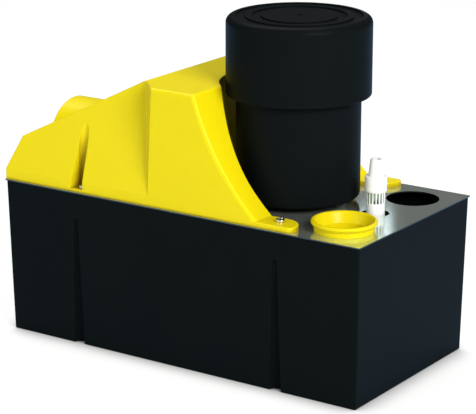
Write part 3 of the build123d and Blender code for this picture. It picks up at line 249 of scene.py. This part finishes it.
class Finish(Shader):
    """A material with one Principled shader."""

    def __init__(self, name, base, roughness, metallic=0.0, **plain):
        super().__init__(bpy.data.materials.new(name))
        self.principled = self.tree.nodes["Principled BSDF"]
        self.set("Base Color", base)
        self.set("Roughness", roughness)
        self.set("Metallic", metallic)
        for key, value in plain.items():
            self.set(key.replace("_", " ").title().replace("Ior", "IOR"), value)

    def set(self, name, value):
        """Links or sets one socket of the shader."""
        self.feed(self.principled.inputs[name], value)

    def bump(self, height, depth, strength=1.0, rounded=0.0):
        """Turns a height into a surface normal; rounded softens sharp edges by that radius."""
        inputs = {"Height": height, "Distance": depth, "Strength": strength}
        if rounded:
            inputs["Normal"] = self.node("ShaderNodeBevel", {"Radius": rounded}, samples=6)
        self.set("Normal", self.node("ShaderNodeBump", inputs))
        return self


def tint(tone, factor):
    """A colour made lighter or darker."""
    return tuple(min(1.0, part * factor) for part in tone)


# Finishes ---------------------------------------------------------------------------------------------

def moulded(name, tone, roughness, grain=0.00004, fleck=0.08, rounded=0.0, **plain):
    """Moulded plastic: cloudy tone, a fine eroded grain and a gloss that varies a little."""
    finish = Finish(name, tone, roughness, **plain)
    here = finish.place()
    cloud = finish.noise(here, 14.0, 2.0)
    grit = finish.noise(here, 1500.0, 2.0)
    finish.set("Base Color", finish.blend(cloud, tint(tone, 1 - fleck), tint(tone, 1 + fleck)))
    finish.set("Roughness", roughness + 0.1 * (finish.noise(here, 60.0, 3.0) - 0.5))
    return finish.bump(grit, grain, 0.6, rounded)


def cover_plastic(name, colours, paint_crease_shade):
    """Glossy yellow moulding: faint flow clouds, an orange-peel skin, a thin clear sheen and, when asked,
    painted
    shade: ambient occlusion darkens the creases and corners towards brown."""
    tone = tuple(colours.cover)
    crease_shade_reach, crease_shade_shares = 0.014, (0.42, 0.33, 0.3)
    finish = Finish(name, tone, colours.cover_gloss, specular_ior_level=0.12, coat_weight=0.03,
                    coat_roughness=0.12)
    here = finish.place()
    cloud = finish.noise(finish.place(grain=(1, 1, 0.45)), 9.0, 3.0)
    base = finish.blend(cloud, tint(tone, 0.95), tint(tone, 1.04))
    if paint_crease_shade:
        # painted shade: ambient occlusion blends the yellow towards a deep brown where creases and corners
        # close in
        painted_shade_occlusion = finish.node("ShaderNodeAmbientOcclusion", {"Distance": crease_shade_reach}, "AO", samples=8)
        shade = tuple(part * left for part, left in zip(tone, crease_shade_shares))
        base = finish.blend(painted_shade_occlusion.ramp(0.3, 0.97), shade, base)
    finish.set("Base Color", base)
    finish.set("Roughness", colours.cover_gloss + 0.12 * (finish.noise(here, 35.0, 4.0) - 0.5))
    skin = 0.75 * finish.noise(here, 240.0, 2.0) + 0.25 * finish.noise(here, 1100.0, 1.0)
    return finish.bump(skin, 0.00006, 0.5, 0.0007)


def tank_plastic(colours):
    """Deep black tank: matt spark-eroded grain, with a faint handling sheen."""
    tone = tuple(colours.tank)
    finish = Finish("tank_black", tone, colours.tank_gloss, specular_ior_level=0.04)
    here = finish.place()
    rub = finish.noise(finish.place(grain=(1, 1, 2)), 22.0, 5.0, 0.6)
    grit = finish.noise(here, 1300.0, 2.0)
    finish.set("Base Color", finish.blend(rub, tint(tone, 0.85), tint(tone, 1.2)))
    finish.set("Roughness", colours.tank_gloss + 0.16 * (rub - 0.5))
    return finish.bump(grit, 0.00005, 0.5, 0.0006)


def lid_metal(colours):
    """Bright steel sheet: rolled streaks along the tank, small smears and painted shade on the sheared edge
    and every other face whose normal points sideways or down.
    """
    tone = tuple(colours.plate)
    finish = Finish("lid_steel", tone, colours.plate_gloss, 0.86)
    streak = finish.noise(finish.place(grain=(0.07, 0.0011, 0.0011)), 1.0, 5.0, 0.6)
    smear = finish.noise(finish.place(), 26.0, 4.0)
    rolled = finish.blend(streak, tint(tone, 0.95), tint(tone, 1.05))
    # painted shade: any face whose normal points sideways or down falls to 12 % of the steel's tone
    upward_for_edge_shade = finish.split(finish.node("ShaderNodeNewGeometry", {}, "Normal"))[2]
    finish.set("Base Color", finish.blend(upward_for_edge_shade.ramp(0.3, 0.8), tint(tone, 0.12), rolled))
    finish.set("Roughness", colours.plate_gloss + 0.06 * (smear - 0.5) + 0.05 * (streak - 0.5))
    return finish.bump(streak, 0.00001, 0.2)


def turned_metal(name, tone, roughness, centre=(0, 0, 0)):
    """Turned or ground metal: fine rings round an upright axis."""
    ring_rate = 4000.0
    finish = Finish(name, tone, roughness, 1.0)
    radius, z = finish.radius(centre)
    mark = 0.25 * (radius * ring_rate).math("SINE") + 0.25 * (z * ring_rate).math("SINE") + 0.5
    finish.set("Roughness", roughness + 0.08 * mark)
    return finish.bump(mark, 0.000004, 0.5)


def cast_metal(name, tone):
    """Cast alloy: grainy skin with darker pits."""
    finish = Finish(name, tone, 0.5, 0.9)
    pit = finish.noise(finish.place(), 700.0, 4.0)
    finish.set("Base Color", finish.blend(pit.ramp(0.3, 0.6), tint(tone, 0.6), tone))
    finish.set("Roughness", 0.42 + 0.25 * (1 - pit))
    return finish.bump(pit, 0.0001, 0.6)


def laminated(name, tone):
    """Stack of thin steel sheets: a line between every two."""
    sheets_per_metre = 2000.0
    finish = Finish(name, tone, 0.45, 0.85)
    z = finish.split(finish.place())[2]
    edge = ((z * sheets_per_metre).math("FRACT") - 0.5).math("ABSOLUTE").ramp(0.36, 0.48)
    finish.set("Base Color", finish.blend(edge, tone, tint(tone, 0.45)))
    return finish.bump(1 - edge, 0.00008, 0.8)


def winding(name, tone, centre):
    """Enamelled wire laid round the motor's axis, a little on the slant."""
    strand_rate, slant = 5200.0, 0.3
    finish = Finish(name, tone, 0.3, 0.9, coat_weight=0.5)
    radius, z = finish.radius(centre)
    strand = ((radius + slant * z) * strand_rate).math("SINE") * 0.5 + 0.5
    finish.set("Base Color", finish.blend(strand, tint(tone, 0.55), tone))
    return finish.bump(strand, 0.0003, 0.9)


def foam(name, tone):
    """Closed foam: round cells close together."""
    finish = Finish(name, tone, 0.75)
    cell = finish.node("ShaderNodeTexVoronoi", {"Vector": finish.place(), "Scale": 900.0})
    finish.set("Base Color", finish.blend(cell.ramp(0.1, 0.7), tone, tint(tone, 0.8)))
    return finish.bump(1 - cell, 0.00025, 0.6)


def zinc(name, tone, roughness=0.35):
    """Zinc-plated steel: small crystals of two tones."""
    finish = Finish(name, tone, roughness, 1.0)
    flake = finish.node("ShaderNodeTexVoronoi", {"Vector": finish.place(), "Scale": 420.0}, "Color")
    grey = finish.split(flake)[0]
    finish.set("Base Color", finish.blend(grey, tint(tone, 0.86), tint(tone, 1.08)))
    finish.set("Roughness", roughness + 0.14 * (grey - 0.5))
    return finish.bump(grey, 0.00001, 0.3)


def sleeve_plastic(white, centre, outside, depth):
    """Ribbed clear sleeve: white on the ribs; between them each window carries painted shade and painted
    reflection in near-black, grey and olive patches.
    """
    # painted shade and painted reflection: near-black, grey and olive patches fill the windows between the
    # ribs
    shade_black, grey, reflected_olive = (0.012, 0.02, 0.02), (0.3, 0.36, 0.36), (0.22, 0.36, 0.05)
    upright = (1, 1, 4)
    finish = Finish("union_clear", white, 0.16, coat_weight=0.4)
    radius = finish.radius(centre)[0]
    crest = radius.ramp(outside - 0.75 * depth, outside - 0.2 * depth)
    shade_and_reflection = finish.blend(finish.noise(finish.place(grain=upright), 330.0, 1.0).ramp(0.44, 0.56), shade_black, grey)
    reflected_olive_mask = finish.noise(finish.place((0.02, 0.01, 0), upright), 260.0, 1.0).ramp(0.52, 0.6)
    inside = finish.blend(reflected_olive_mask, shade_and_reflection, reflected_olive)
    finish.set("Base Color", finish.blend(crest, inside, white))
    return finish.bump(finish.noise(finish.place(), 900.0), 0.00002, 0.4)


# Surfaces ---------------------------------------------------------------------------------------------

def surface(name, points, body, finish, ring=False):
    """Puts a grid of points (rows round an axis, columns, 3) into a mesh, closed round the axis and, where
    ring says so, from the last row back to the first. Equal points are joined and faces turned outwards."""
    rows, columns = points.shape[:2]
    down = np.arange(rows if ring else rows - 1)[:, None]
    across = np.arange(columns)[None, :]
    below, beside = (down + 1) % rows, (across + 1) % columns
    quads = np.stack([down * columns + across, down * columns + beside, below * columns + beside,
                      below * columns + across], -1).reshape(-1, 4)
    mesh = bpy.data.meshes.new(name)
    mesh.from_pydata(points.reshape(-1, 3), [], quads)
    work = bmesh.new()
    work.from_mesh(mesh)
    bmesh.ops.remove_doubles(work, verts=work.verts, dist=JOIN_DISTANCE)
    bmesh.ops.recalc_face_normals(work, faces=work.faces)
    work.to_mesh(mesh)
    work.free()
    mesh.materials.append(finish.owner)
    mesh.polygons.foreach_set("use_smooth", np.ones(len(mesh.polygons), bool))
    mesh.set_sharp_from_angle(angle=SHARP_EDGE)
    piece = bpy.data.objects.new(name, mesh)
    bpy.context.scene.collection.objects.link(piece)
    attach(piece, body)
    return piece


def turned_grid(profile, step, columns):
    """Points along a polyline of (radius, height), no further apart than step, carried round an axis;
    returns radius, height and angle grids."""
    profile = np.asarray(profile, float)
    reach = np.concatenate([[0], np.cumsum(np.linalg.norm(np.diff(profile, axis=0), axis=1))])
    keep = np.unique(np.round(np.concatenate([np.arange(0, reach[-1], step), reach]), 9))
    radius = np.interp(keep, reach, profile[:, 0])[:, None].repeat(columns, 1)
    height = np.interp(keep, reach, profile[:, 1])[:, None].repeat(columns, 1)
    angle = np.linspace(0, 2 * math.pi, columns, endpoint=False)
    return radius, height, np.broadcast_to(angle, radius.shape)


def place_grid(radius, height, angle, centre, lying=False):
    """Cylindrical to plain coordinates round an axis through centre, upright or lying along x."""
    points = np.stack([radius * np.cos(angle), radius * np.sin(angle), height], -1)
    return (np.roll(points, 1, -1) if lying else points) + np.asarray(centre)


def thread_depth(angle, height, pitch):
    """Triangle wave of height over pitch plus share of a turn: 1 in the root, 0 on the crest."""
    return np.abs((angle / (2 * math.pi) + height / pitch) % 1.0 - 0.5) * 2


def screw_points(sizes, centre, length, turn):
    """Pan-head screw: a turned profile whose head top is lowered inside a cross of two slots, and whose
    shank radius follows a triangle wave of angle plus height over pitch."""
    head, high, shank = sizes.screw_head_radius, sizes.screw_head_height, sizes.screw_shank_radius
    pitch = sizes.screw_pitch
    crown, slot_depth, thread_root = 0.4 * high, 0.5 * high, 0.45 * pitch
    side_slope, end_slope = 0.00012, 0.00025
    step, columns = 0.00011, 96

    arc = np.linspace(0, math.pi / 2, 12)
    rim = np.stack([head - crown + crown * np.sin(arc), high - crown * (1 - np.cos(arc))], 1)
    profile = [[0, high], *rim, [head, 0], [shank, 0], [shank, pitch - length], [0, -length]]
    radius, height, angle = turned_grid(profile, step, columns)

    wide, far = np.abs(radius * np.cos(angle)), np.abs(radius * np.sin(angle))
    slots = [np.clip((sizes.screw_slot - one) / side_slope + 0.5, 0, 1)
             * np.clip((sizes.screw_cross - other) / end_slope + 0.5, 0, 1)
             for one, other in ((wide, far), (far, wide))]
    height = height - slot_depth * np.maximum(*slots) * (height > crown)
    threaded = (height < -0.5 * pitch) & (height > 1.5 * pitch - length)
    radius = radius - threaded * thread_depth(angle, height, pitch) * thread_root
    return place_grid(radius, height, angle + turn, centre)


def sleeve_points(sizes, low, high):
    """Ribbed sleeve: a turned tube with a tail below and a neck above. Between the two, the radius drops
    by up to one depth where the cosine of the angle times the number of ribs is above about minus a half,
    clear of both ends."""
    outside, tall = (high.x - low.x) / 2, high.z - low.z
    foot, neck = sizes.sleeve_tail, tall - sizes.sleeve_neck
    tail_radius, neck_radius = outside - 0.002, outside - 0.0009
    sill, sill_slope = 0.0008, 0.0004
    step, columns = 0.00025, 16 * sizes.sleeve_ribs

    profile = [[sizes.sleeve_bore, 0], [tail_radius, 0], [tail_radius, foot], [outside, foot],
               [outside, neck], [neck_radius, neck], [neck_radius, tall], [sizes.sleeve_bore, tall]]
    radius, height, angle = turned_grid(profile, step, columns)
    window = np.clip(np.cos(sizes.sleeve_ribs * angle) * 1.6 + 0.9, 0, 1)
    band = (np.clip((height - foot - sill) / sill_slope, 0, 1)
            * np.clip((neck - height - sill) / sill_slope, 0, 1))
    radius = radius - sizes.sleeve_depth * window * band * (radius > neck_radius)
    return place_grid(radius, height, angle, ((low.x + high.x) / 2, (low.y + high.y) / 2, low.z))


def gland_points(sizes, low, high):
    """Cable gland lying along x: a domed cap with grip ribs (a squared sine of the angle), a hexagonal
    collar (half its width over the cosine of the angle from the middle of a flat) and a threaded tail."""
    long, corner = high.x - low.x, (high.y - low.y) / 2
    dome, round_off, face = sizes.gland_dome, 0.3 * sizes.gland_dome, sizes.gland_reach
    tail_radius, collar, point = 0.006, 0.003, corner - 0.0003
    grips, grip_depth, grip_slope = 12, 0.0005, 0.0003
    thread_start, thread_end, thread_root = face + 0.0006, long - 0.0004, 0.4 * sizes.gland_pitch
    hair = 0.0001
    step, columns = 0.0002, 192

    arc = np.linspace(0, math.pi / 2, 10)
    nose = np.stack([dome - round_off + round_off * np.sin(arc), round_off * (1 - np.cos(arc))], 1)
    profile = [[sizes.gland_bore, 0], *nose, [dome, face - collar], [corner, face - collar],
               [corner, face], [tail_radius, face], [tail_radius, long], [sizes.gland_bore, long]]
    radius, height, angle = turned_grid(profile, step, columns)

    ribbed = (height < face - collar - hair) & (radius > dome - 4 * hair)
    grip = np.sin(grips * angle) ** 2 * np.clip((height - round_off) / grip_slope, 0, 1)
    radius = radius - grip_depth * grip * ribbed
    flat = corner * math.cos(math.pi / 6) / np.cos(angle % (math.pi / 3) - math.pi / 6)
    radius = np.where(radius > tail_radius + hair, np.minimum(radius, np.minimum(flat, point)), radius)
    threaded = (height > thread_start) & (height < thread_end) & (radius > tail_radius - hair)
    radius = radius - threaded * thread_depth(angle, height, sizes.gland_pitch) * thread_root
    return place_grid(radius, height, angle, (low.x, (low.y + high.y) / 2, (low.z + high.z) / 2), True)


def spring_points(sizes, low, high):
    """Coil spring: a ring of the wire's section carried along a helix and drawn to a point at both ends. Its
    height grows with the share of the wire's run less a sine of it, so that the end turns lie closer."""
    wire, turns = sizes.spring_wire, sizes.spring_turns
    rows_per_turn, columns, closeness = 48, 14, 0.4

    along = np.linspace(0, 1, rows_per_turn * turns + 1)
    along = np.concatenate([[0], along, [1]])[:, None]
    thick = np.full(along.shape, wire)
    thick[[0, -1]] = 0
    around = np.linspace(0, 2 * math.pi, columns, endpoint=False)[None, :]
    climb = along - closeness * np.sin(2 * math.pi * along) / (2 * math.pi)
    radius = (high.x - low.x) / 2 - wire + thick * np.cos(around)
    height = wire + (high.z - low.z - 2 * wire) * climb + thick * np.sin(around)
    return place_grid(radius, height, 2 * math.pi * turns * along,
                      ((low.x + high.x) / 2, (low.y + high.y) / 2, low.z))


# Pieces -----------------------------------------------------------------------------------------------

def dress(finish, *names):
    """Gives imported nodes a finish."""
    for name in names:
        for slot in NODES[name].material_slots:
            slot.material = finish.owner


def corner_points(name):
    """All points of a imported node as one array."""
    mesh = NODES[name].data
    points = np.zeros(len(mesh.vertices) * 3)
    mesh.vertices.foreach_get("co", points)
    return points.reshape(-1, 3)


class PUMP_OT_yellow(bpy.types.Operator):
    """Finishes the moulded cover and the inlet collar"""
    bl_idname = "pump.yellow"
    bl_label = "Yellow mouldings"

    def execute(self, context):
        colours = context.scene.pump_colours
        dress(cover_plastic("cover_yellow", colours, True), "cover")
        dress(cover_plastic("collar_yellow", colours, False), "inlet_collar")
        return {"FINISHED"}


class PUMP_OT_tank(bpy.types.Operator):
    """Finishes the tank and the steel lid"""
    bl_idname = "pump.tank"
    bl_label = "Tank and lid"

    def execute(self, context):
        colours = context.scene.pump_colours
        dress(tank_plastic(colours), "tank")
        dress(lid_metal(colours), "lid_plate")
        return {"FINISHED"}


class PUMP_OT_motor(bpy.types.Operator):
    """Finishes the motor's mouldings, castings, windings and shaft"""
    bl_idname = "pump.motor"
    bl_label = "Motor"

    def execute(self, context):
        colours = context.scene.pump_colours
        low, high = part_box("motor_can")
        axis = ((low.x + high.x) / 2, (low.y + high.y) / 2, 0)
        dress(moulded("motor_black", tuple(colours.motor), colours.motor_gloss, 0.00003, 0.1, 0.0005,
                      specular_ior_level=0.02), "motor_can", "motor_cap", "cooling_fan")
        dress(moulded("rubber_black", (0.02, 0.02, 0.02), 0.8, 0.00008), "motor_feet", "slinger")
        dress(cast_metal("cast_alloy", (0.6, 0.61, 0.62)), "lower_end_bracket", "upper_end_bracket")
        dress(turned_metal("bearing_steel", (0.6, 0.6, 0.62), 0.2, axis), "lower_bearing", "upper_bearing",
              "shaft")
        dress(laminated("core_steel", (0.28, 0.28, 0.3)), "stator_core", "rotor")
        dress(winding("copper", (0.72, 0.36, 0.18), axis), "stator_coils")
        dress(zinc("bolt_zinc", (0.7, 0.71, 0.73)), "motor_screws", "motor_tie_bolts")
        return {"FINISHED"}


class PUMP_OT_pump(bpy.types.Operator):
    """Finishes the pump column, volute, impeller, bush, float guides, terminals and small screws"""
    bl_idname = "pump.pump"
    bl_label = "Pump below the lid"

    def execute(self, context):
        dress(moulded("pump_black", (0.03, 0.03, 0.033), 0.45, 0.00006), "pump_column", "volute_housing",
              "volute_cover", "impeller", "pump_float_guide", "alarm_float_guide")
        dress(turned_metal("bush_brass", (0.72, 0.56, 0.28), 0.25), "column_bush", "switch_terminals",
              "terminal_screws")
        dress(zinc("small_zinc", (0.7, 0.71, 0.73)), "volute_screws", "plate_screws", "switch_screws",
              "rocker_pins")
        return {"FINISHED"}


class PUMP_OT_controls(bpy.types.Operator):
    """Finishes the floats, levers, switches, bracket and terminal block"""
    bl_idname = "pump.controls"
    bl_label = "Floats and switches"

    def execute(self, context):
        dress(foam("float_white", (0.82, 0.82, 0.79)), "pump_float", "alarm_float")
        dress(turned_metal("rod_steel", (0.62, 0.62, 0.64), 0.22), "pump_float_rod", "alarm_float_rod")
        dress(moulded("rocker_white", (0.76, 0.76, 0.73), 0.4, 0.00003), "pump_rocker", "alarm_rocker")
        dress(moulded("switch_black", (0.03, 0.03, 0.03), 0.42, 0.00006), "pump_switch", "alarm_switch")
        dress(moulded("switch_red", (0.6, 0.04, 0.03), 0.35, 0.00002), "pump_switch_plunger",
              "alarm_switch_plunger")
        dress(zinc("bracket_zinc", (0.58, 0.6, 0.62), 0.38), "switch_bracket")
        dress(moulded("terminal_cream", (0.7, 0.66, 0.5), 0.45, 0.00005), "terminal_block")
        return {"FINISHED"}


class PUMP_OT_valve(bpy.types.Operator):
    """Makes the check valve's ribbed clear sleeve and coil spring, and finishes the pipe and valve"""
    bl_idname = "pump.valve"
    bl_label = "Check valve"

    def execute(self, context):
        white = tuple(context.scene.pump_colours.valve)
        sizes = context.scene.pump_sizes
        dress(moulded("pipe_white", white, 0.3, 0.00002, 0.02, 0.0003), "discharge_pipe", "valve_body",
              "valve_poppet")
        low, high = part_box("valve_union")
        centre = ((low.x + high.x) / 2, (low.y + high.y) / 2, 0)
        finish = sleeve_plastic(white, centre, (high.x - low.x) / 2, sizes.sleeve_depth)
        piece = surface("valve_sleeve", sleeve_points(sizes, low, high), "housing", finish,
                        True)
        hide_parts("valve_union")

        low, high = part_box("valve_spring")
        spring = surface("valve_coil", spring_points(sizes, low, high), "housing",
                         zinc("spring_steel", (0.62, 0.63, 0.65), 0.25))
        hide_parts("valve_spring")
        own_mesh(spring)
        return {"FINISHED"}


class PUMP_OT_screws(bpy.types.Operator):
    """Makes the four cover screws with cross slots and threads"""
    bl_idname = "pump.screws"
    bl_label = "Cover screws"

    def execute(self, context):
        sizes = context.scene.pump_sizes
        points = corner_points("cover_screws")
        finish = zinc("screw_steel", (0.78, 0.79, 0.8), 0.22)
        for number, (east, north) in enumerate(((1, 1), (1, -1), (-1, 1), (-1, -1))):
            own = points[(points[:, 0] * east > 0) & (points[:, 1] * north > 0)]
            low, high = own.min(0), own.max(0)
            seat = high[2] - sizes.screw_head_height
            centre = ((low[0] + high[0]) / 2, (low[1] + high[1]) / 2, seat)
            piece = surface(f"cover_screw_{number + 1}",
                            screw_points(sizes, centre, seat - low[2], 0.4 + 0.9 * number),
                            "housing", finish)
            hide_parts("cover_screws")
        return {"FINISHED"}


class PUMP_OT_gland(bpy.types.Operator):
    """Makes the cable gland with its dome, hexagon and thread, and finishes its locknut"""
    bl_idname = "pump.gland"
    bl_label = "Cable gland"

    def execute(self, context):
        finish = moulded("gland_grey", (0.2, 0.21, 0.22), 0.45, 0.00004, 0.06)
        dress(finish, "gland_locknut")
        low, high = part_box("cable_gland")
        piece = surface("gland_body", gland_points(context.scene.pump_sizes, low, high),
                        "housing", finish, True)
        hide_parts("cable_gland")
        return {"FINISHED"}


# Stage ------------------------------------------------------------------------------------------------

def floor_finish(studio):
    """Pale floor that shows white where it is seen, cooler where it is reflected, and still takes the soft
    lamp shadow through its diffuse share; its glow carries a painted contact shadow where the pump stands
    close."""
    painted_shadow_reach = 0.024
    shader = Shader(bpy.data.materials.new("floor_white"))
    camera_ray = shader.node("ShaderNodeLightPath", {}, "Is Camera Ray")
    glossy_ray = camera_ray.beside("Is Glossy Ray")
    seen = camera_ray.math("MAXIMUM", glossy_ray).math("MAXIMUM", camera_ray.beside("Is Transmission Ray"))
    tone = shader.blend(glossy_ray, (1, 1, 1), tuple(studio.floor_cool))
    paint = shader.node("ShaderNodeBsdfDiffuse", {"Color": (0.9, 0.9, 0.9)})
    # painted contact shadow: ambient occlusion dims the glow where the pump stands close
    painted_shade_occlusion = shader.node("ShaderNodeAmbientOcclusion", {"Distance": painted_shadow_reach}, "AO", samples=16)
    strength = studio.floor_glow * painted_shade_occlusion.ramp(0.1, 1.0)
    glow = shader.node("ShaderNodeEmission", {"Color": tone, "Strength": strength})
    mixed = shader.node("ShaderNodeMixShader", {0: studio.floor_share * seen, 1: paint, 2: glow})
    shader.feed(shader.tree.nodes["Material Output"].inputs["Surface"], mixed)
    shader.tree.nodes.remove(shader.tree.nodes["Principled BSDF"])
    return shader.owner


def room_light(studio):
    """Even light from all round, dimmer where a glossy surface reflects it."""
    shader = Shader(bpy.data.worlds.new("room"))
    glossy_ray = shader.node("ShaderNodeLightPath", {}, "Is Glossy Ray")
    strength = studio.room + (studio.room_gloss - studio.room) * glossy_ray
    shader.feed(shader.tree.nodes["Background"].inputs["Color"], (1, 1, 1))
    shader.feed(shader.tree.nodes["Background"].inputs["Strength"], strength)
    return shader.owner


def lamp(name, place, target, wide, high, power, tone=(1, 1, 1)):
    """A rectangular lamp that faces a point."""
    light = bpy.data.lights.new(name, "AREA")
    light.shape = "RECTANGLE"
    light.size, light.size_y = wide, high
    light.energy = power
    light.color = tone
    piece = bpy.data.objects.new(name, light)
    bpy.context.scene.collection.objects.link(piece)
    piece.location = place
    piece.rotation_euler = (Vector(target) - Vector(place)).to_track_quat("-Z", "Y").to_euler()
    return piece


class PUMP_OT_stage(bpy.types.Operator):
    """Makes the floor, the lamps, the room light and the camera"""
    bl_idname = "pump.stage"
    bl_label = "Studio"

    def execute(self, context):
        scene = context.scene
        studio = scene.pump_stage
        spread = FLOOR_HALF * np.array([[-1, -1], [1, -1], [1, 1], [-1, 1]])
        mesh = bpy.data.meshes.new("floor")
        mesh.from_pydata(np.c_[spread, np.full(4, -FLOOR_DROP)], [], [(0, 1, 2, 3)])
        floor = bpy.data.objects.new("floor", mesh)
        mesh.materials.append(floor_finish(studio))
        scene.collection.objects.link(floor)

        middle = (0, 0, 0.12)
        lamp("key_lamp", (1.8, -0.9, 1.25), middle, 0.9, 0.9, studio.key, (1.0, 0.99, 0.96))
        lamp("fill_lamp", (-0.9, -1.9, 0.8), middle, 1.4, 1.4, studio.fill, (1.0, 1.0, 0.97))
        lamp("top_lamp", (-0.6, 0.5, 1.7), middle, 1.2, 1.2, studio.top)
        card = lamp("rear_card", (-0.108, 0.4, 0.288), (0.145, -0.015, 0.125), 0.035, 0.05, studio.card,
                    (0.8, 0.92, 1.0))
        card.visible_diffuse = False
        card.visible_camera = False

        scene.world = room_light(studio)

        camera = bpy.data.cameras.new("camera")
        camera.sensor_width = SENSOR_WIDTH
        camera.lens = studio.lens
        camera.clip_start, camera.clip_end = 0.01, 50.0
        eye = bpy.data.objects.new("camera", camera)
        scene.collection.objects.link(eye)
        eye.location = studio.eye
        eye.rotation_euler = (math.pi / 2 - studio.height, 0, studio.heading)
        scene.camera = eye
        scene.view_settings.view_transform = "Standard"
        return {"FINISHED"}


# Panel and running ------------------------------------------------------------------------------------

class PUMP_PT_panel(bpy.types.Panel):
    """Lists the pump's operators and settings"""
    bl_label = "Condensate pump"
    bl_idname = "PUMP_PT_panel"
    bl_space_type = "VIEW_3D"
    bl_region_type = "UI"
    bl_category = "Pump"

    def draw(self, context):
        for operator in OPERATORS:
            self.layout.operator(operator.bl_idname)
        for group in (context.scene.pump_colours, context.scene.pump_sizes, context.scene.pump_stage):
            box = self.layout.box()
            for key in group.__annotations__:
                box.prop(group, key)


OPERATORS = (PUMP_OT_yellow, PUMP_OT_tank, PUMP_OT_motor, PUMP_OT_pump, PUMP_OT_controls, PUMP_OT_valve,
             PUMP_OT_screws, PUMP_OT_gland, PUMP_OT_stage)
CLASSES = (PumpColours, PumpSizes, PumpStage, *OPERATORS, PUMP_PT_panel)


def register():
    """Registers the classes and ties the settings to the scene."""
    for one in CLASSES:
        bpy.utils.register_class(one)
    bpy.types.Scene.pump_colours = bpy.props.PointerProperty(type=PumpColours)
    bpy.types.Scene.pump_sizes = bpy.props.PointerProperty(type=PumpSizes)
    bpy.types.Scene.pump_stage = bpy.props.PointerProperty(type=PumpStage)


def unregister():
    """Takes away what register added."""
    for name in ("pump_colours", "pump_sizes", "pump_stage"):
        delattr(bpy.types.Scene, name)
    for one in reversed(CLASSES):
        bpy.utils.unregister_class(one)


def main():
    """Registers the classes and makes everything."""
    register()
    for operator in OPERATORS:
        group, name = operator.bl_idname.split(".")
        getattr(getattr(bpy.ops, group), name)()


if __name__ == "__main__":
    main()
